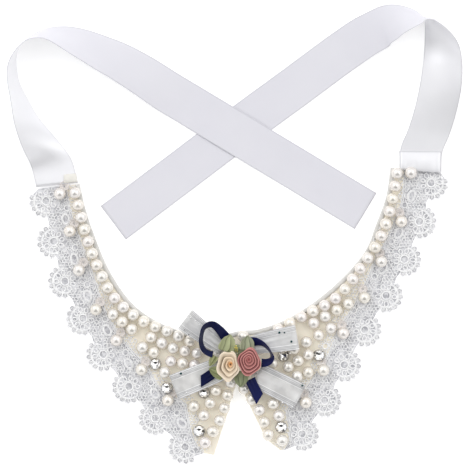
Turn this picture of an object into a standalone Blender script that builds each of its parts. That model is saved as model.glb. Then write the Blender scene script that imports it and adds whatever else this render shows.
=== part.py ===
"""Pet bib collar of lace and pearls with two satin ribbon ties, laid flat.

Run with: blender --background --python part.py
Metres, +Z up. The origin is under the middle of the object, on the surface it lies on.
Sizes below are in millimetres, and MM turns them into metres where meshes are made.
"""

import math
from collections import namedtuple

import bmesh
import bpy
import numpy as np

MM = 0.001

CLOTH = 1.0
THIN_CLOTH = 0.8
LACE = 1.2
SEAM_GAP = 0.3
REST_GAP = 0.3

PEARL_DIAMETER = 6.0
PEARL_SIDES = 8
PEARL_RINGS = 4
PEARL_THREAD_DEPTH = 0.4

STONE_DIAMETER = 6.4
STONE_SETTING_HEIGHT = 1.9
STONE_HEIGHT = 4.2
STONE_TABLE_DIAMETER = 4.0
STONE_FOOT_SHARE = 0.82

TIE_WIDTH = 25.0
TIE_STEP = 4.0
TIE_SEGMENTS = 3
NAVY_WIDTH = 6.0

FANS_A_SIDE = 8
FAN_RADIUS = 10.6
FAN_PICOTS = 6
FAN_SWEEP = math.radians(82)
TOP_FAN_SWEEP = math.radians(34)
PICOT_HEIGHT = 1.1
PICOT_ROUNDNESS = 0.6
PICOT_STEPS = 3
RING_HOLE_DIAMETER = 4.5
RING_RIM_DIAMETER = 6.8
RING_RIM_BORE = 5.1
RING_RIM_HEIGHT = 0.5
RING_SIDES = 8
SLOT_SIDES = 8
NOTCH_SETBACK = 0.8

EDGE_STEP = 5.0
NAVY_STEP = 2.0
THREAD_STEP = 0.5
SPLINE_DIVISIONS = 12

PEARL_TOP = CLOTH + PEARL_DIAMETER
BOW_LAYER_1 = PEARL_TOP + REST_GAP
BOW_LAYER_2 = BOW_LAYER_1 + CLOTH + REST_GAP

# Places along the collar: its neckline, and the seam where the lace is sewn on
CollarEdge = namedtuple("CollarEdge", "place points")

NECKLINE = CollarEdge("throat, left to right", (
    (-92.4, 29.4), (-89.8, 17.5), (-84.7, 1.4), (-73.7, -24.2), (-58.5, -44.4), (-38.3, -56.3),
    (-20.4, -60.8), (-7.3, -60.8), (3.4, -58.4), (14.1, -57.5), (33.2, -50.4), (58.2, -32.8),
    (78.4, -10.5), (84.9, 5.6), (90.9, 22.3), (93.3, 39.2)))
RIGHT_SEAM = CollarEdge("right seam, tab to lapel", (
    (101.0, 38.9), (99.8, 21.7), (94.8, 6.8), (83.2, -17.0), (73.0, -39.0), (61.4, -58.1),
    (55.2, -73.0), (48.8, -82.4), (38.5, -96.8), (30.8, -105.7), (32.3, -115.2), (32.3, -123.6),
    (29.3, -128.9)))
LAPEL_GAP = CollarEdge("inner edges of the two lapels", (
    (27.2, -128.9), (18.3, -121.8), (14.7, -114.0), (7.6, -99.2), (1.6, -87.9),
    (-2.0, -99.2), (-4.3, -108.1), (-7.3, -117.0), (-12.1, -131.9)))
LEFT_SEAM = CollarEdge("left seam, lapel to tab", (
    (-18.0, -130.7), (-21.6, -126.5), (-24.9, -119.4), (-27.6, -106.9), (-28.8, -101.5),
    (-35.3, -97.4), (-43.9, -92.0), (-51.4, -80.1), (-59.1, -71.2), (-68.6, -59.9),
    (-76.4, -45.6), (-83.5, -25.4), (-88.9, -11.1), (-93.3, 1.4), (-97.8, 16.3), (-100.2, 28.5)))

# Lace tape: the line through its ring centres, in the order the tape is sewn
LEFT_TAPE = ((-112.1, 19.3), (-107.3, -5.7), (-100.2, -30.1), (-88.9, -52.7),
             (-77.0, -73.6), (-62.1, -92.0), (-46.0, -111.1), (-29.3, -127.1))
RIGHT_TAPE = ((40.3, -119.4), (52.8, -101.0), (64.7, -79.5), (76.0, -59.9),
              (91.5, -34.9), (101.6, -14.6), (110.5, 8.0), (117.1, 30.0))
LEFT_LACE_TOP = (-116.8, 26.4)
RIGHT_LACE_TOP = (122.4, 36.4)

# What each repeat of the lace holds, along the tape and in towards the neck
Motif = namedtuple("Motif", "name along inward length width")
TAPE_PEARL = Motif("pearl", -5.4, 10.6, PEARL_DIAMETER, PEARL_DIAMETER)
TAPE_SLOT = Motif("slot", 13.0, 9.5, 5.5, 3.0)

# Rows of pearls on the cloth, evenly threaded along a curve
PearlRow = namedtuple("PearlRow", "place count points")
PEARL_ROWS = (
    PearlRow("left throat", 17, ((-94.8, 24.0), (-88.9, 1.4), (-81.4, -20.0), (-70.4, -39.6),
                                 (-53.8, -52.7), (-40.1, -58.1), (-26.4, -64.0))),
    PearlRow("left second row", 3, ((-72.2, -48.0), (-60.9, -56.9))),
    PearlRow("left second row, centre", 5, ((-49.6, -61.7), (-36.5, -68.2), (-22.2, -71.2))),
    PearlRow("left third row", 2, ((-54.6, -67.6), (-47.8, -70.6))),
    PearlRow("left third row, centre", 3, ((-37.7, -76.0), (-23.7, -78.3))),
    PearlRow("left fourth row", 1, ((-41.3, -82.5),)),
    PearlRow("left lapel edge", 6, ((-2.3, -88.5), (-8.2, -109.9), (-17.4, -124.2))),
    PearlRow("left lapel second row", 3, ((-10.9, -93.5), (-18.0, -108.1))),
    PearlRow("left lapel outer pearl", 1, ((-24.0, -102.7),)),
    PearlRow("centre", 1, ((5.2, -61.2),)),
    PearlRow("under the bow, left", 3, ((-17.5, -68.5), (-2.0, -72.0))),
    PearlRow("under the bow, right", 2, ((7.0, -72.0), (15.0, -68.5))),
    PearlRow("under the right tail", 3, ((13.5, -84.5), (27.5, -91.0))),
    PearlRow("right throat", 17, ((96.8, 35.7), (94.5, 22.3), (87.6, -1.0), (75.4, -20.3),
                                  (60.5, -38.5), (40.9, -49.2), (26.3, -57.1))),
    PearlRow("right second row", 4, ((67.7, -41.7), (47.1, -53.3))),
    PearlRow("right third row", 3, ((57.3, -56.3), (42.7, -64.6))),
    PearlRow("right third row, centre", 1, ((35.5, -68.8),)),
    PearlRow("right fourth row", 3, ((43.9, -72.1), (32.0, -79.3))),
    PearlRow("right fourth row, centre", 1, ((22.6, -77.2),)),
    PearlRow("right fifth row", 2, ((43.9, -82.5), (37.3, -84.9))),
    PearlRow("right lapel edge", 5, ((5.8, -92.3), (15.0, -105.1), (20.1, -119.6))),
    PearlRow("right lapel second row", 2, ((23.0, -101.2), (26.3, -108.3))),
    PearlRow("right lapel end", 1, ((28.4, -123.0),)),
)

Stone = namedtuple("Stone", "name x y")
STONES = (
    Stone("stone_left_1", -46.9, -77.7),
    Stone("stone_left_2", -40.1, -92.0),
    Stone("stone_left_3", -18.0, -94.6),
    Stone("stone_left_4", -21.0, -117.4),
    Stone("stone_right_1", 29.3, -72.7),
    Stone("stone_right_2", 50.2, -72.5),
    Stone("stone_right_3", 27.8, -115.2),
)

# A tie is a ribbon with one edge on the surface and the other raised by the tilt:
# 0 lies flat with the satin up, 90 stands on edge, 180 lies flat again, rolled over.
# Across is the compass direction of the other edge when flat, and bulge bows the ribbon.
TieRow = namedtuple("TieRow", "x y across tilt bulge lift")
LEFT_TIE = (
    TieRow(-92.9, 30.1, 186, 0, 0.0, 0.0),
    TieRow(-97.0, 44.3, 185, 5, 0.0, 0.0),
    TieRow(-104.5, 54.6, 184, 28, 0.0, 0.0),
    TieRow(-116.8, 69.3, 182, 57, 0.0, 0.0),
    TieRow(-123.5, 80.9, 185, 70, 0.0, 0.0),
    TieRow(-127.9, 89.8, 186, 77, 0.0, 0.0),
    TieRow(-129.5, 98.5, 184, 81, 0.0, 0.0),
    TieRow(-129.8, 104.1, 172, 87, 0.0, 0.0),
    TieRow(-128.2, 109.8, 150, 92, 0.0, 0.0),
    TieRow(-125.1, 114.4, 134, 95, 0.0, 0.0),
    TieRow(-120.4, 118.0, 122, 99, 0.0, 0.0),
    TieRow(-114.5, 121.0, 112, 106, 0.0, 0.0),
    TieRow(-106.8, 122.9, 100, 119, 0.0, 0.0),
    TieRow(-97.0, 122.9, 91, 133, 0.0, 0.0),
    TieRow(-86.5, 120.7, 83, 142, 0.0, 0.0),
    TieRow(-74.9, 116.8, 73, 149, 0.0, 0.0),
    TieRow(-63.6, 112.4, 65, 156, 0.0, 0.0),
    TieRow(-48.4, 104.4, 61, 166, 0.0, 0.0),
    TieRow(-33.2, 94.9, 59, 176, 0.0, 0.0),
    TieRow(-21.8, 88.1, 59, 180, 0.0, 0.0),
    TieRow(-14.5, 83.7, 59, 180, 0.0, 1.4),
    TieRow(31.0, 56.3, 59, 180, 0.0, 1.4),
    TieRow(38.5, 51.8, 59, 180, 0.0, 0.0),
    TieRow(60.0, 38.8, 59, 180, 0.0, 0.0),
    TieRow(84.6, 24.0, 59, 180, 0.0, 0.0),
)
RIGHT_TIE = (
    TieRow(98.3, 40.0, -7, 0, 0.0, 0.0),
    TieRow(98.9, 50.8, -7, 0, 0.0, 0.0),
    TieRow(103.2, 61.5, -7, 0, 0.0, 0.0),
    TieRow(107.0, 73.5, -6, 3, 0.0, 0.0),
    TieRow(110.5, 89.2, -6, 12, 0.5, 0.0),
    TieRow(112.3, 102.0, -5, 23, 1.6, 0.0),
    TieRow(112.8, 108.0, -3, 28, 2.8, 0.0),
    TieRow(113.2, 112.7, -2, 35, 3.6, 0.0),
    TieRow(113.3, 116.9, -1, 46, 4.0, 0.0),
    TieRow(113.4, 120.5, 3, 61, 3.8, 0.0),
    TieRow(113.5, 123.5, 14, 76, 3.2, 0.0),
    TieRow(113.4, 126.0, 44, 90, 2.2, 0.0),
    TieRow(112.6, 128.5, 70, 101, 1.6, 0.0),
    TieRow(109.9, 131.2, 80, 111, 1.2, 0.0),
    TieRow(105.8, 133.6, 85, 122, 1.0, 0.0),
    TieRow(99.8, 135.5, 91, 135, 0.8, 0.0),
    TieRow(93.3, 136.2, 99, 149, 0.6, 0.0),
    TieRow(86.7, 135.1, 106, 159, 0.4, 0.0),
    TieRow(82.0, 133.0, 113, 166, 0.4, 0.0),
    TieRow(71.2, 127.6, 122, 173, 0.0, 0.0),
    TieRow(57.0, 118.1, 127, 180, 0.0, 0.0),
    TieRow(28.0, 96.7, 127, 180, 0.0, 0.0),
    TieRow(-1.4, 75.2, 127, 180, 0.0, 0.0),
    TieRow(-40.0, 46.0, 127, 180, 0.0, 0.0),
    TieRow(-79.6, 16.3, 127, 180, 0.0, 0.0),
)

# Flattened organza loops and cut organza tails, from the knot outwards
LOOP_MIDDLE_RISE = 0.74
LOOP_ROOT_HEIGHT = 1.5
LOOP_FOLD_STEPS = 6
LOOP_FLARE = 0.6
TAIL_FLARE = 0.5
TAIL_SHARES = (0.0, 0.25, 0.55, 1.0)
Loop = namedtuple("Loop", "name root_x root_y tip_x tip_y root_width tip_width rise")
ORGANZA_LOOPS = (
    Loop("organza_loop_left", -6.0, -68.6, -29.2, -50.9, 7.6, 13.7, 5.2),
    Loop("organza_loop_right", 10.0, -66.2, 37.2, -61.5, 9.6, 14.4, 5.2),
)
# The slant is how far one cut corner runs on past the middle of the cut
Tail = namedtuple("Tail", "name root_x root_y tip_x tip_y root_width tip_width slant")
ORGANZA_TAILS = (
    Tail("organza_tail_left", -8.0, -80.2, -35.9, -91.4, 13.6, 15.2, 0.0),
    Tail("organza_tail_right", 13.5, -84.0, 39.0, -96.8, 14.2, 15.4, 0.0),
)

# Navy loops: the lower edge of the ribbon round the loop, its tilt and its height
LoopRow = namedtuple("LoopRow", "x y tilt z")
NAVY_LEFT = (
    LoopRow(-3.8, -67.2, 10, 11.0),
    LoopRow(-7.8, -62.8, 16, 12.0),
    LoopRow(-11.0, -58.2, 36, 13.0),
    LoopRow(-13.7, -55.6, 50, 13.4),
    LoopRow(-16.8, -56.4, 64, 13.4),
    LoopRow(-18.3, -59.9, 70, 13.4),
    LoopRow(-18.4, -64.6, 66, 13.2),
    LoopRow(-17.0, -67.8, 62, 12.8),
    LoopRow(-14.6, -69.3, 58, 12.2),
    LoopRow(-12.4, -69.8, 54, 11.8),
)
NAVY_RIGHT = (
    LoopRow(9.6, -66.8, 25, 11.0),
    LoopRow(12.9, -66.4, 36, 12.0),
    LoopRow(16.3, -66.6, 62, 13.0),
    LoopRow(19.3, -68.6, 74, 13.2),
    LoopRow(21.2, -71.2, 78, 13.2),
    LoopRow(21.2, -73.4, 64, 12.8),
    LoopRow(19.0, -74.3, 46, 12.2),
    LoopRow(16.2, -74.2, 35, 11.4),
)
NAVY_TAILS = (
    Tail("navy_tail_left", -10.5, -81.5, -19.9, -87.8, 6.0, 6.0, 1.9),
    Tail("navy_tail_right", 9.2, -86.5, 15.0, -98.2, 6.0, 6.4, -2.0),
)

# Ribbon leaves, from the stem end to the point
Leaf = namedtuple("Leaf", "name stem_x stem_y tip_x tip_y width z")
LEAVES = (
    Leaf("leaf_upper_left", -5.6, -69.6, -2.4, -59.8, 9.6, 14.2),
    Leaf("leaf_left", -11.4, -72.6, -14.7, -78.6, 4.4, 9.8),
    Leaf("leaf_lower_left", -6.6, -84.2, -15.0, -80.0, 7.0, 9.8),
    Leaf("leaf_upper_right", 7.2, -69.0, 7.8, -60.4, 8.6, 14.2),
    Leaf("leaf_bottom", 4.6, -81.6, 3.6, -91.0, 9.0, 9.8),
)

LEAF_FOLD = 0.7
LEAF_OUTLINE = ((0.0, 0.55), (0.3, 0.95), (0.55, 1.0), (0.8, 0.62), (1.0, 0.12))

# Roses rolled from ribbon: an oval bud, narrower at its stem
Rose = namedtuple("Rose", "name x y half_length half_width lean_x lean_y turns")
ROSES = (
    Rose("rose_peach", -4.2, -78.2, 9.2, 6.6, 1.8, 1.5, 3.0),
    Rose("rose_pink", 9.2, -76.0, 8.4, 6.4, -0.5, 2.2, 3.6),
)
ROSE_FOOT = BOW_LAYER_2
ROSE_HEIGHT = 12.5
ROSE_CUP_SHARE = 0.55
ROSE_STEM_SHARE = 0.38
ROSE_MOUTH_SHARE = 0.68
ROSE_SIDES = 16
PETAL_START_SHARE = 0.42
PETAL_DROP_SHARE = 0.26
PETAL_FOOT_SHARE = 0.66
PETAL_BUD_SHARE = 0.13
PETAL_STEPS_A_TURN = 12

# Colour as linear red, green, blue, then roughness and metallic
Finish = namedtuple("Finish", "name colour roughness metallic")
PEARLY = Finish("ivory pearl and cotton", (0.84, 0.78, 0.64), 0.25, 0.0)
LACE_WHITE = Finish("white lace", (0.82, 0.82, 0.85), 0.85, 0.0)
SATIN_WHITE = Finish("white satin ribbon", (0.84, 0.84, 0.87), 0.35, 0.0)
ORGANZA = Finish("silver organza", (0.74, 0.76, 0.80), 0.30, 0.1)
NAVY = Finish("navy satin ribbon", (0.012, 0.018, 0.09), 0.35, 0.0)
LEAF_GREEN = Finish("olive satin ribbon", (0.30, 0.36, 0.18), 0.45, 0.0)
PEACH = Finish("peach satin ribbon", (0.90, 0.62, 0.38), 0.45, 0.0)
PINK = Finish("rose pink satin ribbon", (0.56, 0.14, 0.15), 0.45, 0.0)
CRYSTAL = Finish("crystal in a nickel setting", (0.80, 0.82, 0.86), 0.08, 0.6)


def clear_scene():
    for obj in list(bpy.data.objects):
        bpy.data.objects.remove(obj, do_unlink=True)


def new_collection(name):
    collection = bpy.data.collections.new(name)
    bpy.context.scene.collection.children.link(collection)
    return collection


def make_material(finish):
    material = bpy.data.materials.new(finish.name)
    material.use_nodes = True
    shader = material.node_tree.nodes["Principled BSDF"]
    shader.inputs["Base Color"].default_value = (*finish.colour, 1.0)
    shader.inputs["Roughness"].default_value = finish.roughness
    shader.inputs["Metallic"].default_value = finish.metallic
    material.diffuse_color = (*finish.colour, 1.0)
    return material


def smooth_curve(points, step):
    """Points about one step apart along a centripetal spline through the given rows."""
    rows = np.array(points, dtype=float)
    if len(rows) < 2:
        return rows
    ends = np.vstack([2 * rows[0] - rows[1], rows, 2 * rows[-1] - rows[-2]])
    fine = []
    for a, b, c, d in zip(ends, ends[1:], ends[2:], ends[3:]):
        knots = [0.0]
        for first, second in ((a, b), (b, c), (c, d)):
            knots.append(knots[-1] + max(np.linalg.norm(second[:2] - first[:2]), 1e-6) ** 0.5)
        for t in np.linspace(knots[1], knots[2], SPLINE_DIVISIONS, endpoint=False):
            fine.append(spline_value(a, b, c, d, knots, t))
    fine.append(rows[-1])
    return even_points(np.array(fine), step=step)


def spline_value(a, b, c, d, knots, t):
    t0, t1, t2, t3 = knots
    first = (t1 - t) / (t1 - t0) * a + (t - t0) / (t1 - t0) * b
    second = (t2 - t) / (t2 - t1) * b + (t - t1) / (t2 - t1) * c
    third = (t3 - t) / (t3 - t2) * c + (t - t2) / (t3 - t2) * d
    lower = (t2 - t) / (t2 - t0) * first + (t - t0) / (t2 - t0) * second
    upper = (t3 - t) / (t3 - t1) * second + (t - t1) / (t3 - t1) * third
    return (t2 - t) / (t2 - t1) * lower + (t - t1) / (t2 - t1) * upper


def even_points(points, step=None, count=None):
    """Points at equal distances along a polyline, measured in plan."""
    lengths = np.linalg.norm(np.diff(points[:, :2], axis=0), axis=1)
    along = np.concatenate([[0.0], np.cumsum(lengths)])
    if count is None:
        count = max(2, int(round(along[-1] / step)) + 1)
    wanted = np.linspace(0.0, along[-1], count)
    return np.column_stack([np.interp(wanted, along, column) for column in points.T])


def plan_tangents(points):
    tangents = np.gradient(points[:, :2], axis=0)
    return tangents / np.linalg.norm(tangents, axis=1)[:, None]


def left_of(direction):
    return np.array([-direction[1], direction[0]])


def offset_line(points, distance):
    """The line moved to its left by a distance, with mitred corners."""
    legs = np.diff(points, axis=0)
    normals = [left_of(leg / np.linalg.norm(leg)) for leg in legs]
    moved = []
    for point, before, after in zip(points, normals[:1] + normals, normals + normals[-1:]):
        moved.append(point + (before + after) / (1 + before @ after) * distance)
    return np.array(moved)


def ellipse(centre, along, half_length, half_width, sides):
    across = left_of(along)
    angles = [2 * math.pi * i / sides for i in range(sides)]
    return [centre + along * half_length * math.cos(a) + across * half_width * math.sin(a)
            for a in angles]


def add_object(name, mesh, finish, collection):
    obj = bpy.data.objects.new(name, mesh)
    collection.objects.link(obj)
    if finish is not None:
        mesh.materials.clear()
        mesh.materials.append(MATERIALS[finish.name])
    return obj


def plate_mesh(name, outline, holes, bottom, top):
    """A flat outline with holes, as a filled 2D curve extruded to its thickness."""
    curve = bpy.data.curves.new(name, "CURVE")
    curve.dimensions = "2D"
    curve.fill_mode = "BOTH"
    curve.extrude = (top - bottom) / 2 * MM
    for loop in [outline, *holes]:
        spline = curve.splines.new("POLY")
        spline.points.add(len(loop) - 1)
        for point, (x, y) in zip(spline.points, loop):
            point.co = (x * MM, y * MM, 0.0, 1.0)
        spline.use_cyclic_u = True
    guide = bpy.data.objects.new(name + "_outline", curve)
    bpy.context.scene.collection.objects.link(guide)
    mesh = bpy.data.meshes.new_from_object(guide.evaluated_get(fresh_graph()))
    bpy.data.objects.remove(guide, do_unlink=True)
    weld(mesh)
    for vertex in mesh.vertices:
        vertex.co.z += (top + bottom) / 2 * MM
    mesh.name = name
    return mesh


def fresh_graph():
    bpy.context.view_layer.update()
    return bpy.context.evaluated_depsgraph_get()


def weld(mesh):
    cage = bmesh.new()
    cage.from_mesh(mesh)
    bmesh.ops.remove_doubles(cage, verts=cage.verts, dist=0.01 * MM)
    bmesh.ops.recalc_face_normals(cage, faces=cage.faces)
    cage.to_mesh(mesh)
    cage.free()


def sheet_mesh(name, sections):
    """An open sheet through sections that each hold the same number of points."""
    cage = bmesh.new()
    rows = [[cage.verts.new(tuple(v * MM for v in point)) for point in section]
            for section in sections]
    for first, second in zip(rows, rows[1:]):
        for i in range(len(first) - 1):
            cage.faces.new((first[i], first[i + 1], second[i + 1], second[i]))
    mesh = bpy.data.meshes.new(name)
    cage.to_mesh(mesh)
    cage.free()
    return mesh


def add_wall(obj, thickness):
    wall = obj.modifiers.new("cloth", "SOLIDIFY")
    wall.thickness = thickness * MM
    wall.offset = 0.0
    wall.use_even_offset = True
    wall.use_quality_normals = True


def add_union(obj, other, crosses_itself=False):
    union = obj.modifiers.new("raised", "BOOLEAN")
    union.operation = "UNION"
    union.solver = "EXACT"
    union.use_self = crosses_itself
    union.object = other


def hide_cutter(obj):
    obj.hide_render = True
    obj.display_type = "WIRE"


def pearls_object(name, centres, cloth_top, collection):
    """All the pearls of one panel, each a bead on a short neck of thread."""
    radius = PEARL_DIAMETER / 2
    cage = bmesh.new()
    for x, y in centres:
        made = bmesh.ops.create_uvsphere(
            cage, u_segments=PEARL_SIDES, v_segments=PEARL_RINGS, radius=radius * MM)
        for vertex in made["verts"]:
            if vertex.co.z < -0.99 * radius * MM:
                vertex.co.z = -(radius + cloth_top - PEARL_THREAD_DEPTH) * MM
            vertex.co.x += x * MM
            vertex.co.y += y * MM
            vertex.co.z += (cloth_top + radius) * MM
    mesh = bpy.data.meshes.new(name)
    cage.to_mesh(mesh)
    cage.free()
    mesh.shade_smooth()
    obj = add_object(name, mesh, None, collection)
    hide_cutter(obj)
    return obj


def pearl_centres():
    centres = []
    for row in PEARL_ROWS:
        if row.count == 1:
            centres.append(row.points[0])
        else:
            line = smooth_curve(row.points, THREAD_STEP)
            centres.extend(tuple(point) for point in even_points(line, count=row.count))
    return centres


def collar_outline():
    """The cloth of the bib: neckline, seams with the lace, and the two lapels."""
    sides = (NECKLINE, RIGHT_SEAM, LAPEL_GAP, LEFT_SEAM)
    outline = []
    for side in sides:
        if side is LAPEL_GAP:
            outline.extend(side.points)
        else:
            outline.extend(tuple(point) for point in smooth_curve(side.points, EDGE_STEP))
    return outline


def build_collar(parts, cutters):
    mesh = plate_mesh("collar_base", collar_outline(), [], 0.0, CLOTH)
    collar = add_object("collar_base", mesh, PEARLY, parts)
    add_union(collar, pearls_object("collar_pearls", pearl_centres(), CLOTH, cutters))


def tape_frames(tape):
    """Ring centres with the direction along the tape and the one in to the neck."""
    line = smooth_curve(tape, THREAD_STEP)
    centres = even_points(line, count=FANS_A_SIDE)
    spread = plan_tangents(centres)
    return [(centre, along, left_of(along)) for centre, along in zip(centres, spread)]


def picot_radius(angle):
    lobe = abs(math.sin((angle + FAN_SWEEP) / (2 * FAN_SWEEP) * FAN_PICOTS * math.pi))
    return FAN_RADIUS - PICOT_HEIGHT * (1.0 - lobe ** PICOT_ROUNDNESS)


def fan_outline(centre, along, inward, first, last):
    """The scalloped edge of one fan between two angles, 0 pointing straight out."""
    points = []
    steps = FAN_PICOTS * PICOT_STEPS
    for i in range(steps + 1):
        angle = FAN_SWEEP * (2 * i / steps - 1)
        if angle < first - 0.01 or angle > last + 0.01:
            continue
        reach = -inward * math.cos(angle) + along * math.sin(angle)
        points.append(centre + reach * picot_radius(angle))
    return points


def motif_place(frames, index, motif):
    centre, along, inward = frames[index]
    return centre + along * motif.along + inward * motif.inward


def build_lace(name, tape, seam, top_corner, top_first, parts, cutters):
    frames = tape_frames(tape)
    outline = []
    top_fan = 0 if top_first else len(frames) - 1
    for index, (centre, along, inward) in enumerate(frames):
        first = -TOP_FAN_SWEEP if index == top_fan and top_first else -FAN_SWEEP
        last = TOP_FAN_SWEEP if index == top_fan and not top_first else FAN_SWEEP
        outline.extend(fan_outline(centre, along, inward, first, last))
        if index + 1 < len(frames):
            middle = (centre + frames[index + 1][0]) / 2
            outline.append(middle - inward * NOTCH_SETBACK)
    edge = offset_line(smooth_curve(seam, EDGE_STEP), SEAM_GAP)
    outline = lace_loop(outline, edge, top_corner, top_first)
    holes = [ellipse(centre, along, RING_HOLE_DIAMETER / 2, RING_HOLE_DIAMETER / 2, RING_SIDES)
             for centre, along, inward in frames]
    for index in range(len(frames) - 1):
        place = motif_place(frames, index, TAPE_SLOT)
        along = frames[index][1]
        holes.append(ellipse(place, along, TAPE_SLOT.length / 2, TAPE_SLOT.width / 2, SLOT_SIDES))
    mesh = plate_mesh(name, outline, holes, 0.0, LACE)
    lace = add_object(name, mesh, LACE_WHITE, parts)
    for centre, along, inward in frames:
        rim = [ellipse(centre, along, d / 2, d / 2, RING_SIDES)
               for d in (RING_RIM_DIAMETER, RING_RIM_BORE)]
        ring_mesh = plate_mesh(name + "_rim", rim[0], rim[1:], LACE / 2, LACE + RING_RIM_HEIGHT)
        ring = add_object(name + "_rim", ring_mesh, None, cutters)
        hide_cutter(ring)
        add_union(lace, ring)
    pearls = [tuple(motif_place(frames, i, TAPE_PEARL)) for i in range(len(frames))]
    pearls = pearls[:-1] if top_first else pearls[1:]
    add_union(lace, pearls_object(name + "_pearls", pearls, LACE, cutters))


def lace_loop(fans, edge, top_corner, top_first):
    """Closes the fans with the top corner and the seam, which runs the other way."""
    corner = [np.array(top_corner)]
    seam = list(edge)
    if top_first:
        return corner + fans + seam
    return fans + corner + seam


def tie_sections(rows):
    """Cross-sections of a tie, each a few points from its lower to its raised edge."""
    sections = []
    for x, y, across, tilt, bulge, lift in smooth_curve(rows, TIE_STEP):
        turn = math.radians(across)
        tilt = math.radians(min(max(tilt, 0.0), 180.0))
        outward = np.array([math.cos(turn), math.sin(turn), 0.0])
        upward = np.array([0.0, 0.0, 1.0])
        chord = outward * math.cos(tilt) + upward * math.sin(tilt)
        belly = outward * math.sin(tilt) - upward * math.cos(tilt)
        length = TIE_WIDTH - 8 * bulge ** 2 / (3 * TIE_WIDTH)
        low = np.array([x, y, CLOTH / 2 + max(lift, 0.0)])
        section = []
        for i in range(TIE_SEGMENTS + 1):
            t = i / TIE_SEGMENTS
            section.append(low + chord * length * t + belly * bulge * 4 * t * (1 - t))
        sections.append(section)
    return sections


def build_tie(name, rows, parts):
    mesh = sheet_mesh(name, tie_sections(rows))
    mesh.shade_smooth()
    tie = add_object(name, mesh, SATIN_WHITE, parts)
    add_wall(tie, CLOTH)


def ribbon_frame(ribbon):
    root = np.array([ribbon.root_x, ribbon.root_y])
    tip = np.array([ribbon.tip_x, ribbon.tip_y])
    length = np.linalg.norm(tip - root)
    along = (tip - root) / length
    return root, along, length


def build_loop(loop, z, parts):
    """A ribbon out to the fold, round it and back on top, open at both sides."""
    root, along, length = ribbon_frame(loop)
    across = left_of(along)
    fold = loop.rise / 2
    profile = [(0.0, 0.0), (length / 2, 0.0), (length - fold, 0.0)]
    for i in range(1, LOOP_FOLD_STEPS):
        angle = -math.pi / 2 + math.pi * i / LOOP_FOLD_STEPS
        profile.append((length - fold + fold * math.cos(angle), fold + fold * math.sin(angle)))
    profile.append((length - fold, loop.rise))
    profile.append((length / 2, loop.rise * LOOP_MIDDLE_RISE))
    profile.append((0.0, LOOP_ROOT_HEIGHT))
    left = []
    right = []
    for reach, height in profile:
        share = reach / length
        half = (loop.root_width + (loop.tip_width - loop.root_width) * share ** LOOP_FLARE) / 2
        point = root + along * reach
        level = z + CLOTH / 2 + height
        left.append((*(point + across * half), level))
        right.append((*(point - across * half), level))
    mesh = sheet_mesh(loop.name, zip(left, right))
    obj = add_object(loop.name, mesh, ORGANZA, parts)
    add_wall(obj, CLOTH)


def build_tail(tail, z, finish, parts):
    """A cut end of ribbon lying flat, gathered at its root."""
    root, along, length = ribbon_frame(tail)
    across = left_of(along)
    outline = []
    for side, shares in ((1, TAIL_SHARES), (-1, TAIL_SHARES[::-1])):
        for share in shares:
            half = (tail.root_width + (tail.tip_width - tail.root_width) * share ** TAIL_FLARE) / 2
            slip = tail.slant * side * share
            outline.append(root + along * (length * share + slip) + across * half * side)
    mesh = plate_mesh(tail.name, outline, [], z, z + CLOTH)
    add_object(tail.name, mesh, finish, parts)


def build_navy_loop(name, rows, side, parts):
    track = smooth_curve([(r.x, r.y, r.tilt, r.z) for r in rows], NAVY_STEP)
    tangents = plan_tangents(track)
    low = []
    high = []
    for (x, y, tilt, z), tangent in zip(track, tangents):
        across = left_of(tangent) * side
        reach = NAVY_WIDTH * math.cos(math.radians(tilt))
        low.append((x, y, z))
        high.append((x + across[0] * reach, y + across[1] * reach,
                     z + NAVY_WIDTH * math.sin(math.radians(tilt))))
    loop = add_object(name, sheet_mesh(name, zip(low, high)), NAVY, parts)
    add_wall(loop, THIN_CLOTH)


def build_leaf(leaf, parts):
    """A pointed leaf with a raised fold down its middle."""
    stem = np.array([leaf.stem_x, leaf.stem_y])
    tip = np.array([leaf.tip_x, leaf.tip_y])
    along = tip - stem
    across = left_of(along / np.linalg.norm(along))
    low = leaf.z + CLOTH / 2
    sections = []
    for share, spread in LEAF_OUTLINE:
        middle = stem + along * share
        half = across * leaf.width / 2 * spread
        sections.append([(*(middle + half), low), (*middle, low + LEAF_FOLD),
                         (*(middle - half), low)])
    mesh = sheet_mesh(leaf.name, sections)
    obj = add_object(leaf.name, mesh, LEAF_GREEN, parts)
    add_wall(obj, THIN_CLOTH)


def rose_core(rose):
    """The stem side of a rose: a solid cup that the rolled ribbon stands in."""
    depth = ROSE_HEIGHT * ROSE_CUP_SHARE
    cage = bmesh.new()
    bmesh.ops.create_cone(cage, cap_ends=True, segments=ROSE_SIDES, radius1=ROSE_STEM_SHARE,
                          radius2=ROSE_MOUTH_SHARE, depth=depth * MM)
    for vertex in cage.verts:
        vertex.co.x = (rose.x + vertex.co.x * rose.half_width) * MM
        vertex.co.y = (rose.y + vertex.co.y * rose.half_length) * MM
        vertex.co.z += (ROSE_FOOT + depth / 2) * MM
    mesh = bpy.data.meshes.new(rose.name)
    cage.to_mesh(mesh)
    cage.free()
    return mesh


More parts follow.
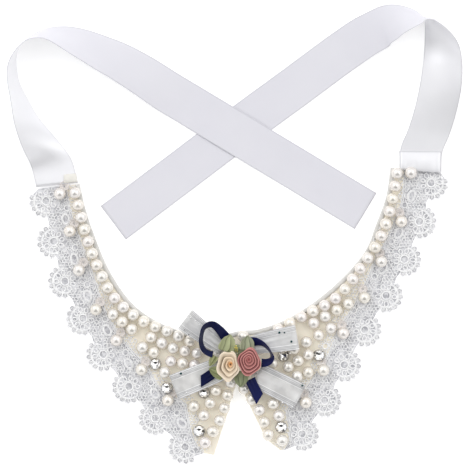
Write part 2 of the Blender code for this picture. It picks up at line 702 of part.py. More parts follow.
def build_rose(rose, finish, parts, cutters):
    """Ribbon rolled in a widening spiral, its outer turns lower than the bud."""
    steps = int(rose.turns * PETAL_STEPS_A_TURN)
    foot_edge = []
    lip_edge = []
    for i in range(steps + 1):
        share = i / steps
        angle = 2 * math.pi * rose.turns * share
        spread = PETAL_BUD_SHARE + (1.0 - PETAL_BUD_SHARE) * share
        centre_x = rose.x + rose.lean_x * (1 - share)
        centre_y = rose.y + rose.lean_y * (1 - share)
        low = ROSE_FOOT + ROSE_HEIGHT * PETAL_START_SHARE
        high = ROSE_FOOT + ROSE_HEIGHT * (1.0 - PETAL_DROP_SHARE * share)
        for edge, flare, z in ((foot_edge, PETAL_FOOT_SHARE, low), (lip_edge, 1.0, high)):
            radius_x = (rose.half_width - THIN_CLOTH / 2) * spread * flare
            radius_y = (rose.half_length - THIN_CLOTH / 2) * spread * flare
            edge.append((centre_x + radius_x * math.cos(angle),
                         centre_y + radius_y * math.sin(angle), z))
    mesh = sheet_mesh(rose.name + "_petals", zip(foot_edge, lip_edge))
    mesh.shade_smooth()
    petals = add_object(rose.name + "_petals", mesh, None, cutters)
    add_wall(petals, THIN_CLOTH)
    hide_cutter(petals)
    body = add_object(rose.name, rose_core(rose), finish, parts)
    add_union(body, petals, crosses_itself=True)


def build_stone(stone, parts):
    """A cut crystal in a round claw setting, flat on the cloth."""
    low = CLOTH + REST_GAP
    levels = ((0.0, STONE_FOOT_SHARE), (STONE_SETTING_HEIGHT, 1.0),
              (STONE_HEIGHT, STONE_TABLE_DIAMETER / STONE_DIAMETER))
    cage = bmesh.new()
    rings = []
    for height, share in levels:
        ring = []
        for i in range(PEARL_SIDES):
            angle = 2 * math.pi * (i + 0.5) / PEARL_SIDES
            radius = STONE_DIAMETER / 2 * share
            ring.append(cage.verts.new(((stone.x + radius * math.cos(angle)) * MM,
                                        (stone.y + radius * math.sin(angle)) * MM,
                                        (low + height) * MM)))
        rings.append(ring)
    for lower, upper in zip(rings, rings[1:]):
        for i in range(PEARL_SIDES):
            j = (i + 1) % PEARL_SIDES
            cage.faces.new((lower[i], lower[j], upper[j], upper[i]))
    cage.faces.new(list(reversed(rings[0])))
    cage.faces.new(rings[-1])
    mesh = bpy.data.meshes.new(stone.name)
    cage.to_mesh(mesh)
    cage.free()
    add_object(stone.name, mesh, CRYSTAL, parts)


def build_bow(parts, cutters):
    for loop in ORGANZA_LOOPS:
        build_loop(loop, BOW_LAYER_1, parts)
    for tail in ORGANZA_TAILS:
        build_tail(tail, BOW_LAYER_1, ORGANZA, parts)
    build_navy_loop("navy_loop_left", NAVY_LEFT, -1, parts)
    build_navy_loop("navy_loop_right", NAVY_RIGHT, 1, parts)
    for tail in NAVY_TAILS:
        build_tail(tail, BOW_LAYER_2, NAVY, parts)
    for leaf in LEAVES:
        build_leaf(leaf, parts)
    for rose, finish in zip(ROSES, (PEACH, PINK)):
        build_rose(rose, finish, parts, cutters)


def main():
    parts = new_collection("pet_bib_collar")
    cutters = new_collection("cutters")
    build_collar(parts, cutters)
    build_lace("lace_left", LEFT_TAPE, LEFT_SEAM.points, LEFT_LACE_TOP, True, parts, cutters)
    build_lace("lace_right", RIGHT_TAPE, RIGHT_SEAM.points, RIGHT_LACE_TOP, False, parts, cutters)
    build_tie("tie_left", LEFT_TIE, parts)
    build_tie("tie_right", RIGHT_TIE, parts)
    build_bow(parts, cutters)
    for stone in STONES:
        build_stone(stone, parts)


clear_scene()
MATERIALS = {finish.name: make_material(finish) for finish in (
    PEARLY, LACE_WHITE, SATIN_WHITE, ORGANZA, NAVY, LEAF_GREEN, PEACH, PINK, CRYSTAL)}
main()
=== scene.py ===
"""Looks of the pet bib collar: lace, pearls, satin ties and the ribbon bow, laid flat.

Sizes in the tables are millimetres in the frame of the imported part, and MM turns them into metres.
"""

import random
from collections import namedtuple
from math import cos, pi, radians, sin, sqrt

import bmesh
import bpy
import numpy as np
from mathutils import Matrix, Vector
from numpy.linalg import norm


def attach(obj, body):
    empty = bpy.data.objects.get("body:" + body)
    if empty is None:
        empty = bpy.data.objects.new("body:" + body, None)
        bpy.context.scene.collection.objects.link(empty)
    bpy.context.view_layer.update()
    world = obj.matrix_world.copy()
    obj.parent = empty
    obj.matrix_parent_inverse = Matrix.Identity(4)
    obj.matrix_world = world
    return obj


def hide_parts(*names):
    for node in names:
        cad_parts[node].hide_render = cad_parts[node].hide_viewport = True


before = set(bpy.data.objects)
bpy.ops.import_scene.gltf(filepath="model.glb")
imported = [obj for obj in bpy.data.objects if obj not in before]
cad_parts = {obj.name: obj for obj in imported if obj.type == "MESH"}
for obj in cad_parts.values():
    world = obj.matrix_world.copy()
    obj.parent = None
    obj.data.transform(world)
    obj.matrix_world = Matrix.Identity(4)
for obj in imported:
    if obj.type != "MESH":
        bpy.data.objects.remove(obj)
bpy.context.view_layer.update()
MM = 0.001
CHANCE = random.Random(11)
vary = CHANCE.uniform

# Camera
FRAME_WIDTH = 276.2
VIEW_CENTRE = (-1.4, 0.8)
CAMERA_HEIGHT = 2000.0

# Edges of the base cloth in order round it, then the middle line and top corner of each lace edging
NECKLINE = ((-92.4, 29.4), (-89.8, 17.5), (-84.7, 1.4), (-73.7, -24.2), (-58.5, -44.4), (-38.3, -56.3),
            (-20.4, -60.8), (-7.3, -60.8), (3.4, -58.4), (14.1, -57.5), (33.2, -50.4), (58.2, -32.8),
            (78.4, -10.5), (84.9, 5.6), (90.9, 22.3), (93.3, 39.2))
RIGHT_SEAM = ((101.0, 38.9), (99.8, 21.7), (94.8, 6.8), (83.2, -17.0), (73.0, -39.0), (61.4, -58.1),
              (55.2, -73.0), (48.8, -82.4), (38.5, -96.8), (30.8, -105.7), (32.3, -115.2),
              (32.3, -123.6), (29.3, -128.9))
LAPEL_GAP = ((27.2, -128.9), (18.3, -121.8), (14.7, -114.0), (7.6, -99.2), (1.6, -87.9),
             (-2.0, -99.2), (-4.3, -108.1), (-7.3, -117.0), (-12.1, -131.9))
LEFT_SEAM = ((-18.0, -130.7), (-21.6, -126.5), (-24.9, -119.4), (-27.6, -106.9), (-28.8, -101.5),
             (-35.3, -97.4), (-43.9, -92.0), (-51.4, -80.1), (-59.1, -71.2), (-68.6, -59.9),
             (-76.4, -45.6), (-83.5, -25.4), (-88.9, -11.1), (-93.3, 1.4), (-97.8, 16.3), (-100.2, 28.5))
LEFT_TAPE = ((-112.1, 19.3), (-107.3, -5.7), (-100.2, -30.1), (-88.9, -52.7),
             (-77.0, -73.6), (-62.1, -92.0), (-46.0, -111.1), (-29.3, -127.1))
RIGHT_TAPE = ((40.3, -119.4), (52.8, -101.0), (64.7, -79.5), (76.0, -59.9),
              (91.5, -34.9), (101.6, -14.6), (110.5, 8.0), (117.1, 30.0))
LEFT_LACE_TOP = (-116.8, 26.4)
RIGHT_LACE_TOP = (122.4, 36.4)

# Rows of pearls: how many, and points on the line that they follow
PEARL_ROWS = (
    (17, ((-94.8, 24.0), (-88.9, 1.4), (-81.4, -20.0), (-70.4, -39.6), (-53.8, -52.7), (-40.1, -58.1),
          (-26.4, -64.0))),
    (3, ((-72.2, -48.0), (-60.9, -56.9))),
    (5, ((-49.6, -61.7), (-36.5, -68.2), (-22.2, -71.2))),
    (2, ((-54.6, -67.6), (-47.8, -70.6))),
    (3, ((-37.7, -76.0), (-23.7, -78.3))),
    (1, ((-41.3, -82.5),)),
    (6, ((-2.3, -88.5), (-8.2, -109.9), (-17.4, -124.2))),
    (3, ((-10.9, -93.5), (-18.0, -108.1))),
    (1, ((-24.0, -102.7),)),
    (1, ((5.2, -61.2),)),
    (3, ((-17.5, -68.5), (-2.0, -72.0))),
    (2, ((7.0, -72.0), (15.0, -68.5))),
    (3, ((13.5, -84.5), (27.5, -91.0))),
    (17, ((96.8, 35.7), (94.5, 22.3), (87.6, -1.0), (75.4, -20.3), (60.5, -38.5), (40.9, -49.2),
          (26.3, -57.1))),
    (4, ((67.7, -41.7), (47.1, -53.3))),
    (3, ((57.3, -56.3), (42.7, -64.6))),
    (1, ((35.5, -68.8),)),
    (3, ((43.9, -72.1), (32.0, -79.3))),
    (1, ((22.6, -77.2),)),
    (2, ((43.9, -82.5), (37.3, -84.9))),
    (5, ((5.8, -92.3), (15.0, -105.1), (20.1, -119.6))),
    (2, ((23.0, -101.2), (26.3, -108.3))),
    (1, ((28.4, -123.0),)),
)

# Crystals: name and place
STONES = (("stone_left_1", -46.9, -77.7), ("stone_left_2", -40.1, -92.0), ("stone_left_3", -18.0, -94.6),
          ("stone_left_4", -21.0, -117.4), ("stone_right_1", 29.3, -72.7), ("stone_right_2", 50.2, -72.5),
          ("stone_right_3", 27.8, -115.2))

TIE_WIDTH = 25.0
# Places along a tie: x and y of its lower edge, direction of the other edge from it, tilt, bulge, lift
LEFT_TIE = (
    (-92.9, 30.1, 186, 0, 0, 2.2), (-97.0, 44.3, 185, 5, 0, 0.2), (-104.5, 54.6, 184, 28, 0, 0),
    (-116.8, 69.3, 182, 57, 0, 0), (-123.5, 80.9, 185, 70, 0, 0), (-127.9, 89.8, 186, 77, 0, 0),
    (-129.5, 98.5, 184, 81, 0, 0), (-129.8, 104.1, 172, 87, 0, 0), (-128.2, 109.8, 150, 92, 0, 0),
    (-125.1, 114.4, 134, 95, 0, 0), (-120.4, 118.0, 122, 99, 0, 0), (-114.5, 121.0, 112, 106, 0, 0),
    (-106.8, 122.9, 100, 119, 0, 0), (-97.0, 122.9, 91, 133, 0, 0), (-86.5, 120.7, 83, 142, 0, 0),
    (-74.9, 116.8, 73, 149, 0, 0), (-63.6, 112.4, 65, 156, 0, 0), (-48.4, 104.4, 61, 166, 0, 0),
    (-33.2, 94.9, 59, 176, 0, 0), (-21.8, 88.1, 59, 180, 0, 0), (-14.5, 83.7, 59, 180, 0, 0.5),
    (31.0, 56.3, 59, 180, 0, 0.5), (38.5, 51.8, 59, 180, 0, 0), (60.0, 38.8, 59, 180, 0, 0),
    (84.6, 24.0, 59, 180, 0, 0))
RIGHT_TIE = (
    (98.3, 40.0, -7, 0, 0, 1.0), (98.9, 50.8, -7, 0, 0, 0.2), (103.2, 61.5, -7, 0, 0, 0),
    (107.0, 73.5, -6, 3, 0, 0), (110.5, 89.2, -6, 12, 0.5, 0), (112.3, 102.0, -5, 23, 1.6, 0),
    (112.8, 108.0, -3, 28, 2.8, 0), (113.2, 112.7, -2, 35, 3.6, 0), (113.3, 116.9, -1, 46, 4.0, 0),
    (113.4, 120.5, 3, 61, 3.8, 0), (113.5, 123.5, 14, 76, 3.2, 0), (113.4, 126.0, 44, 90, 2.2, 0),
    (112.6, 128.5, 70, 101, 1.6, 0), (109.9, 131.2, 80, 111, 1.2, 0), (105.8, 133.6, 85, 122, 1.0, 0),
    (99.8, 135.5, 91, 135, 0.8, 0), (93.3, 136.2, 99, 149, 0.6, 0), (86.7, 135.1, 106, 159, 0.4, 0),
    (82.0, 133.0, 113, 166, 0.4, 0), (71.2, 127.6, 122, 173, 0, 0), (57.0, 118.1, 127, 180, 0, 0),
    (28.0, 96.7, 127, 180, 0, 0), (-1.4, 75.2, 127, 180, 0, 0), (-40.0, 46.0, 127, 180, 0, 0),
    (-79.6, 16.3, 127, 180, 0, 0))


# Curves in plan
def spline_value(a, b, c, d, knots, t):
    t0, t1, t2, t3 = knots
    first = (t1 - t) / (t1 - t0) * a + (t - t0) / (t1 - t0) * b
    second = (t2 - t) / (t2 - t1) * b + (t - t1) / (t2 - t1) * c
    third = (t3 - t) / (t3 - t2) * c + (t - t2) / (t3 - t2) * d
    lower = (t2 - t) / (t2 - t0) * first + (t - t0) / (t2 - t0) * second
    upper = (t3 - t) / (t3 - t1) * second + (t - t1) / (t3 - t1) * third
    return (t2 - t) / (t2 - t1) * lower + (t - t1) / (t2 - t1) * upper


def smooth_curve(points, step, divisions=12):
    """Points about one step apart along a centripetal spline through the given rows."""
    rows = np.array(points, dtype=float)
    if len(rows) < 2:
        return rows
    ends = np.vstack([2 * rows[0] - rows[1], rows, 2 * rows[-1] - rows[-2]])
    fine = []
    for a, b, c, d in zip(ends, ends[1:], ends[2:], ends[3:]):
        knots = [0.0]
        for first, second in ((a, b), (b, c), (c, d)):
            knots.append(knots[-1] + max(norm(second[:2] - first[:2]), 1e-6) ** 0.5)
        for t in np.linspace(knots[1], knots[2], divisions, endpoint=False):
            fine.append(spline_value(a, b, c, d, knots, t))
    fine.append(rows[-1])
    return even_points(np.array(fine), step=step)


def even_points(points, step=None, count=None):
    lengths = norm(np.diff(points[:, :2], axis=0), axis=1)
    along = np.concatenate([[0.0], np.cumsum(lengths)])
    if count is None:
        count = max(2, int(round(along[-1] / step)) + 1)
    wanted = np.linspace(0.0, along[-1], count)
    return np.column_stack([np.interp(wanted, along, column) for column in points.T])


def plan_tangents(points):
    tangents = np.gradient(points[:, :2], axis=0)
    return tangents / norm(tangents, axis=1)[:, None]


def left_of(direction):
    return np.array([-direction[1], direction[0]])


def inside(point, loop):
    """True if a point in plan lies in a closed loop."""
    x, y = point
    x0, y0 = loop[:, 0], loop[:, 1]
    x1, y1 = np.roll(x0, -1), np.roll(y0, -1)
    spans = (y0 > y) != (y1 > y)
    with np.errstate(divide="ignore", invalid="ignore"):
        cuts = x0 + (y - y0) / (y1 - y0) * (x1 - x0)
    return bool(np.count_nonzero(spans & (x < cuts)) % 2)


# Meshes
def add_object(name, data):
    obj = bpy.data.objects.new(name, data)
    bpy.context.scene.collection.objects.link(obj)
    return obj


class Shape:
    """Vertices and faces gathered from many small pieces into one mesh."""

    def __init__(self):
        self.verts = []
        self.faces = []
        self.marks = []
        self.count = 0

    def add(self, verts, faces, marks=None):
        verts = np.asarray(verts, dtype=float)
        self.verts.append(verts)
        self.faces.extend([tuple(i + self.count for i in face) for face in faces])
        if marks is None:
            marks = np.zeros((len(verts), 3))
        self.marks.append(np.asarray(marks, dtype=float))
        self.count += len(verts)

    def tube(self, path, radius, sides=6, closed=False):
        """A round thread along a path of x, y, z rows."""
        path = np.asarray(path, dtype=float)
        n = len(path)
        if closed:
            ahead = np.roll(path, -1, axis=0) - np.roll(path, 1, axis=0)
        else:
            ahead = np.gradient(path, axis=0)
        ahead = ahead / np.maximum(norm(ahead, axis=1), 1e-9)[:, None]
        side = np.column_stack([-ahead[:, 1], ahead[:, 0], np.zeros(n)])
        side = side / np.maximum(norm(side, axis=1), 1e-9)[:, None]
        up = np.cross(ahead, side)
        angles = np.arange(sides) * 2 * pi / sides
        cosines, sines = np.cos(angles)[None, :, None], np.sin(angles)[None, :, None]
        ring = side[:, None, :] * cosines - up[:, None, :] * sines
        verts = (path[:, None, :] + ring * radius).reshape(-1, 3)
        faces = []
        for i in range(n if closed else n - 1):
            a, b = i * sides, ((i + 1) % n) * sides
            for k in range(sides):
                m = (k + 1) % sides
                faces.append((a + k, b + k, b + m, a + m))
        if not closed:
            faces.append(tuple(range(sides)))
            faces.append(tuple(reversed(range((n - 1) * sides, n * sides))))
        self.add(verts, faces)

    def ball(self, centre, radius, segments=20, rings=12, squash=1.0):
        verts = [(0, 0, -squash)]
        for i in range(1, rings):
            polar = -pi / 2 + pi * i / rings
            for k in range(segments):
                turn = 2 * pi * k / segments
                verts.append((cos(polar) * cos(turn), cos(polar) * sin(turn), sin(polar) * squash))
        verts.append((0, 0, squash))
        faces = []
        for k in range(segments):
            m = (k + 1) % segments
            faces.append((0, 1 + m, 1 + k))
            for i in range(rings - 2):
                a = 1 + i * segments
                faces.append((a + k, a + m, a + segments + m, a + segments + k))
            last = 1 + (rings - 2) * segments
            faces.append((last + k, last + m, len(verts) - 1))
        self.add(np.array(verts) * radius + np.asarray(centre), faces)

    def build(self, name, material, smooth=True):
        mesh = bpy.data.meshes.new(name)
        mesh.from_pydata([tuple(v) for v in np.vstack(self.verts) * MM], [], self.faces)
        marks = mesh.attributes.new("weave", "FLOAT_VECTOR", "POINT")
        marks.data.foreach_set("vector", np.vstack(self.marks).astype(np.float32).ravel())
        if smooth:
            mesh.shade_smooth()
        mesh.materials.append(material)
        return add_object(name, mesh)


def surface(rows, columns, place):
    """Sections of a sheet: the place of each point from its row and its column."""
    return [[place(row, column) for column in columns] for row in rows]


def grid_faces(rows, columns):
    return [(a, a + 1, a + columns + 1, a + columns)
            for a in (i * columns + k for i in range(rows - 1) for k in range(columns - 1))]


def sheet(name, sections, material, thickness, back=None, marks=None):
    """A thin sheet through sections, each the same number of x, y, z points."""
    sections = np.array(sections, dtype=float)
    rows, cols = sections.shape[:2]
    if marks is None:
        steps = norm(np.diff(sections.mean(axis=1), axis=0), axis=1)
        along = np.concatenate([[0.0], np.cumsum(steps)])
        widths = norm(np.diff(sections, axis=1), axis=2).mean(axis=0)
        across = np.concatenate([[0.0], np.cumsum(widths)])
        across = 2 * across / across[-1] - 1
        marks = np.stack([np.broadcast_to(across, (rows, cols)),
                          np.broadcast_to(along[:, None], (rows, cols)),
                          np.zeros((rows, cols))], axis=2)
    shape = Shape()
    shape.add(sections.reshape(-1, 3), grid_faces(rows, cols), marks.reshape(-1, 3))
    obj = shape.build(name, material)
    if back is not None:
        obj.data.materials.append(back)
    wall = obj.modifiers.new("cloth", "SOLIDIFY")
    wall.thickness = thickness * MM
    wall.offset = 0.0
    wall.use_even_offset = False
    if back is not None:
        wall.material_offset = 1
    return obj


def plate(name, outline, bottom, top, material, bevel=0.0):
    """A flat piece of cloth cut to an outline, with a softened edge."""
    curve = bpy.data.curves.new(name, "CURVE")
    curve.dimensions = "2D"
    curve.fill_mode = "BOTH"
    curve.extrude = (top - bottom - 2 * bevel) / 2 * MM
    curve.bevel_depth = bevel * MM
    curve.bevel_resolution = 1
    curve.offset = -bevel * MM
    spline = curve.splines.new("POLY")
    spline.points.add(len(outline) - 1)
    for point, (x, y) in zip(spline.points, outline):
        point.co = (x * MM, y * MM, 0.0, 1.0)
    spline.use_cyclic_u = True
    guide = add_object(name + "_guide", curve)
    bpy.context.view_layer.update()
    mesh = bpy.data.meshes.new_from_object(guide.evaluated_get(bpy.context.evaluated_depsgraph_get()))
    bpy.data.objects.remove(guide, do_unlink=True)
    weld(mesh)
    for vertex in mesh.vertices:
        vertex.co.z += (top + bottom) / 2 * MM
    mesh.materials.clear()
    mesh.materials.append(material)
    mesh.name = name
    return add_object(name, mesh)


def weld(mesh):
    cage = bmesh.new()
    cage.from_mesh(mesh)
    bmesh.ops.remove_doubles(cage, verts=cage.verts, dist=0.01 * MM)
    cage.to_mesh(mesh)
    cage.free()


# Materials
class Paint:
    """A material's nodes, made and joined with short calls."""

    def __init__(self, name, **values):
        self.material = bpy.data.materials.new(name)
        self.material.use_nodes = True
        self.tree = self.material.node_tree
        self.shader = self.tree.nodes["Principled BSDF"]
        for key, value in values.items():
            self.shader.inputs[key.replace("_", " ")].default_value = value

    def node(self, kind, **values):
        made = self.tree.nodes.new("ShaderNode" + kind)
        for key, value in values.items():
            if key in made.inputs:
                made.inputs[key].default_value = value
            else:
                setattr(made, key, value)
        return made

    def join(self, source, output, target, socket):
        self.tree.links.new(source.outputs[output], target.inputs[socket])

    def base(self, source, output="Color"):
        self.join(source, output, self.shader, "Base Color")

    def mark(self, axis):
        """The size of one part of the weave attribute: X across, Y along, Z from inside to outside."""
        marks = self.node("Attribute", attribute_name="weave")
        parts = self.node("SeparateXYZ")
        self.join(marks, "Vector", parts, "Vector")
        size = self.node("Math", operation="ABSOLUTE")
        self.join(parts, axis, size, 0)
        return size

    def mottle(self, scale, detail, low, shade, high, colour, roughness=0.5):
        """An uneven tone between two colours."""
        return self.ramp(self.noise(scale, detail, roughness), "Fac", [(low, shade), (high, colour)])

    def multiply(self, first, second):
        mix = self.node("Mix", data_type="RGBA", blend_type="MULTIPLY")
        mix.inputs[0].default_value = 1.0
        self.tree.links.new(first.outputs["Color"], mix.inputs[6])
        self.tree.links.new(second.outputs["Color"], mix.inputs[7])
        return mix

    def noise(self, scale, detail=2.0, roughness=0.5):
        place = self.node("TexCoord")
        made = self.node("TexNoise", Scale=scale, Detail=detail, Roughness=roughness)
        self.join(place, "Object", made, "Vector")
        return made

    def ramp(self, source, output, stops):
        """A colour for each position; one number stands for a grey."""
        made = self.node("ValToRGB")
        while len(made.color_ramp.elements) < len(stops):
            made.color_ramp.elements.new(0.5)
        for element, (position, colour) in zip(made.color_ramp.elements, stops):
            element.position = position
            element.color = (*np.broadcast_to(colour, 3), 1.0)
        self.join(source, output, made, "Fac")
        return made

    def bump(self, source, output, strength, distance, before=None):
        made = self.node("Bump", Strength=strength, Distance=distance)
        self.join(source, output, made, "Height")
        if before is not None:
            self.join(before, "Normal", made, "Normal")
        self.join(made, "Normal", self.shader, "Normal")
        return made


def pearl_paint():
    """Glass pearls: a soft mirror over a cream body, its colour a darker cream towards the rim: painted
    shade and painted reflection of the cloth around.
    """
    paint = Paint("pearl", Metallic=0.45, Roughness=0.18, Coat_Weight=0.3, Coat_Roughness=0.06)
    island = paint.node("NewGeometry")
    body = paint.ramp(island, "Random Per Island", [(0.0, (0.88, 0.84, 0.76)), (0.4, (0.90, 0.88, 0.84)),
                                                    (0.7, (0.89, 0.85, 0.83)), (1.0, (0.92, 0.88, 0.80))])
    # Painted shade and painted reflection: the colour turns a darker cream where the surface turns away
    # from the view, towards the rim
    facing = paint.node("LayerWeight", Blend=0.5)
    rim = paint.ramp(facing, "Facing", [
        (0.0, 0.97), (0.35, (0.93, 0.92, 0.92)), (0.6, (0.93, 0.91, 0.87)), (1.0, (0.97, 0.93, 0.84))])
    paint.base(paint.multiply(body, rim), 2)
    paint.bump(paint.noise(420.0, 2.0), "Fac", 0.02, 0.0004)
    return paint.material


def thread_paint(name, colour, shade):
    """Cotton thread: matt, slightly fuzzy, with fine twist and uneven tone."""
    paint = Paint(name, Roughness=0.85, Sheen_Weight=0.25, Sheen_Roughness=0.5, Specular_IOR_Level=0.25)
    paint.base(paint.mottle(600.0, 2.0, 0.36, shade, 0.5, colour))
    paint.bump(paint.noise(1600.0, 3.0, 0.6), "Fac", 0.5, 0.0003)
    return paint.material


def weave_wave(paint, axis, scale):
    """Threads across or along a ribbon, from its own weave coordinates in millimetres."""
    marks = paint.node("Attribute", attribute_name="weave")
    wave = paint.node("TexWave", wave_type="BANDS", bands_direction=axis, wave_profile="SIN",
                      Scale=scale, Distortion=0.6, Detail=1.0)
    wave.inputs["Detail Scale"].default_value = 2.0
    paint.join(marks, "Vector", wave, "Vector")
    return wave


def ribbon_paint(name, colour, shade, roughness, gloss=0.0, across=None, shine=0.5):
    """Satin: fine cross threads, a long soft gloss and a faint change of tone."""
    paint = Paint(name, Roughness=roughness, Metallic=gloss, Anisotropic=0.4, Specular_IOR_Level=shine)
    tone = paint.mottle(28.0, 2.0, 0.35, shade, 0.65, colour)
    # A table across the ribbon multiplies its tone: woven selvedge lines on the ties, painted crease
    # shade on the leaves
    if across is None:
        paint.base(tone)
    else:
        paint.base(paint.multiply(tone, paint.ramp(paint.mark("X"), 0, across)), 2)
    first = paint.bump(weave_wave(paint, "Y", 1.1), "Fac", 0.12, 0.0001)
    paint.bump(paint.noise(90.0, 2.0), "Fac", 0.05, 0.0006, before=first)
    return paint.material


def organza_paint():
    """Sheer ribbon: open gauze in the middle, satin bands and silver lines near each edge, with painted
    light and shade of faint folds.
    """
    paint = Paint("organza", Roughness=0.4, Sheen_Weight=0.2)
    size = paint.mark("X")
    colour = paint.ramp(size, 0, [
        (0.0, 0.83), (0.50, 0.80), (0.56, 0.93), (0.62, 0.40), (0.66, 0.86),
        (0.74, 0.45), (0.78, 0.86), (0.88, 0.50), (0.92, 0.96), (1.0, 0.90)])
    # Painted light and shade: noise that darkens and lightens the colour as faint folds would
    painted_fold_shade = paint.ramp(paint.noise(110.0, 3.0), "Fac", [(0.36, 0.84), (0.5, 1.0), (0.64, 1.12)])
    paint.base(paint.multiply(colour, painted_fold_shade), 2)
    solid = paint.ramp(size, 0, [(0.0, 0.70), (0.50, 0.70), (0.56, 1.0), (1.0, 1.0)])
    paint.join(solid, "Color", paint.shader, "Alpha")
    paint.bump(weave_wave(paint, "Y", 0.9), "Fac", 0.25, 0.0002)
    return paint.material


def petal_paint(name, stops, gap, face):
    """Ribbon of a rose: its colour changes outwards from the bud; painted shade darkens the gaps between
    its turns, and its lips stay pale as a painted highlight.
    """
    paint = Paint(name, Roughness=0.5, Specular_IOR_Level=0.3)
    tone = paint.ramp(paint.mark("Z"), 0, stops)
    # Painted shade and highlight across the ribbon: darkest low in the gap under the next turn, palest at
    # the lip
    painted_gap_shade = paint.ramp(paint.mark("X"), 0, [(0.25, gap), (0.5, face * 0.8), (0.66, face),
                                           (0.9, face), (0.96, 1.0), (1.0, 1.0)])
    paint.base(paint.multiply(tone, painted_gap_shade), 2)
    paint.bump(weave_wave(paint, "Y", 1.4), "Fac", 0.12, 0.0002)
    return paint.material


def cloth_paint(name, colour, shade, painted_glow=0.0):
    """Plain weave; an emission, where given, is painted light that lifts the shade on the cloth."""
    # Emission as painted light, to lighten the cloth in the shade between the pearls
    paint = Paint(name, Roughness=0.9, Sheen_Weight=0.2, Specular_IOR_Level=0.2,
                  Emission_Color=(*colour, 1.0), Emission_Strength=painted_glow)
    paint.base(paint.mottle(60.0, 4.0, 0.3, shade, 0.7, colour))
    place = paint.node("TexCoord")
    first = None
    for axis in ("X", "Y"):
        threads = paint.node("TexWave", bands_direction=axis, Scale=900.0, Distortion=1.0)
        paint.join(place, "Object", threads, "Vector")
        first = paint.bump(threads, "Fac", 0.3, 0.0002, before=first)
    return paint.material


def shaded_ground_paint(name, colour, shade):
    """The open ground behind the lace: a pale net whose grey and random blotches are painted shade for
    the gaps between the threads.
    """
    paint = Paint(name, Roughness=0.95, Specular_IOR_Level=0.1)
    paint.base(paint.mottle(260.0, 3.0, 0.40, shade, 0.56, colour, roughness=0.6))
    return paint.material


def plain_paint(name, colour, **values):
    paint = Paint(name, **values)
    paint.base(paint.mottle(300.0, 2.0, 0.3, tuple(c * 0.9 for c in colour), 0.7, colour))
    return paint.material


def crystal_paint():
    """Cut glass: a mirror whose colour is broken into small patches, near black or bright: painted
    sparkle and painted dark reflections.
    """
    paint = Paint("crystal", Metallic=1.0, Roughness=0.04)
    place = paint.node("TexCoord")
    painted_sparkle_cells = paint.node("TexVoronoi", Scale=800.0)
    paint.join(place, "Object", painted_sparkle_cells, "Vector")
    # Painted reflections: patches of near-black and bright mirror colour stand in for facets catching
    # dark and light
    tone = paint.ramp(painted_sparkle_cells, "Color", [(0.0, 0.04), (0.16, 0.25), (0.22, 0.95), (0.5, 1.0)])
    paint.base(tone)
    return paint.material


SELVEDGE = [(0.0, 1.0), (0.93, 1.0), (0.965, 0.86), (1.0, 0.94)]
PEARL = pearl_paint()
LACE = thread_paint("lace_thread", (0.98, 0.98, 0.985), (0.88, 0.88, 0.90))
# Grey ground under the lace: painted shade that darkens the gaps between its threads
TULLE_PAINTED_SHADE = shaded_ground_paint("tulle_ground_painted_shade", (0.80, 0.80, 0.82), (0.50, 0.50, 0.53))
CREAM = cloth_paint("cream_tab", (0.93, 0.91, 0.86), (0.84, 0.82, 0.76))
BINDING = cloth_paint("neck_binding", (0.80, 0.79, 0.77), (0.72, 0.71, 0.68))
# Its emission of 0.14 is painted light that lifts the shade between the pearls
BASE_CLOTH = cloth_paint("base_cloth", (0.94, 0.89, 0.78), (0.86, 0.80, 0.68), 0.14)
SATIN = ribbon_paint("satin_face", (0.85, 0.85, 0.875), (0.82, 0.82, 0.85), roughness=0.36, gloss=0.3,
                     across=SELVEDGE)
MATT_BACK = ribbon_paint("satin_back", (0.735, 0.73, 0.78), (0.715, 0.71, 0.765), roughness=0.7,
                         across=SELVEDGE)
ORGANZA = organza_paint()
NAVY = ribbon_paint("navy_satin", (0.010, 0.014, 0.085), (0.004, 0.007, 0.045), roughness=0.38,
                    shine=0.12)
# Painted shade across a leaf: dark lines along its two creases, and one half darker than the other
LEAF_CREASE_SHADE = [(0.0, 1.0), (0.06, 0.8), (0.27, 0.72), (0.33, 0.38), (0.38, 0.95),
              (0.62, 0.78), (0.70, 0.4), (0.75, 0.85), (0.95, 0.7), (1.0, 1.0)]
LEAVES_PAINT = {
    name: ribbon_paint(name + "_satin", colour, tuple(c * 0.75 for c in colour), roughness=0.45,
                       across=LEAF_CREASE_SHADE, shine=0.3)
    for name, colour in (("leaf_upper_left", (0.52, 0.56, 0.31)), ("leaf_left", (0.60, 0.63, 0.32)),
                         ("leaf_lower_left", (0.48, 0.53, 0.27)),
                         ("leaf_upper_right", (0.42, 0.45, 0.30)), ("leaf_bottom", (0.36, 0.41, 0.24)))}
# The last two numbers are painted shade: in the gaps between turns, and on the faces below the pale lips
PEACH = petal_paint("peach_satin", [(0.0, (0.80, 0.34, 0.10)), (0.16, (0.90, 0.55, 0.28)),
                                    (0.4, (0.94, 0.76, 0.55)), (1.0, (0.96, 0.84, 0.68))], 0.5, 0.86)
PINK = petal_paint("pink_satin", [(0.0, (0.46, 0.09, 0.10)), (0.2, (0.70, 0.27, 0.25)),
                                  (0.7, (0.78, 0.34, 0.32)), (1.0, (0.72, 0.29, 0.27))], 0.14, 0.6)
CRYSTAL = crystal_paint()
NICKEL = plain_paint("dark_nickel", (0.40, 0.40, 0.41), Metallic=1.0, Roughness=0.25)
SILVER = plain_paint("silver_thread", (0.62, 0.62, 0.64), Metallic=0.7, Roughness=0.3)
SEQUIN = plain_paint("cup_sequin", (0.97, 0.92, 0.89), Roughness=0.3, Alpha=0.6)
GLITTER = plain_paint("glitter", (0.03, 0.09, 0.10), Metallic=0.6, Roughness=0.15)
YELLOW = plain_paint("stamen", (0.75, 0.62, 0.12), Roughness=0.5)


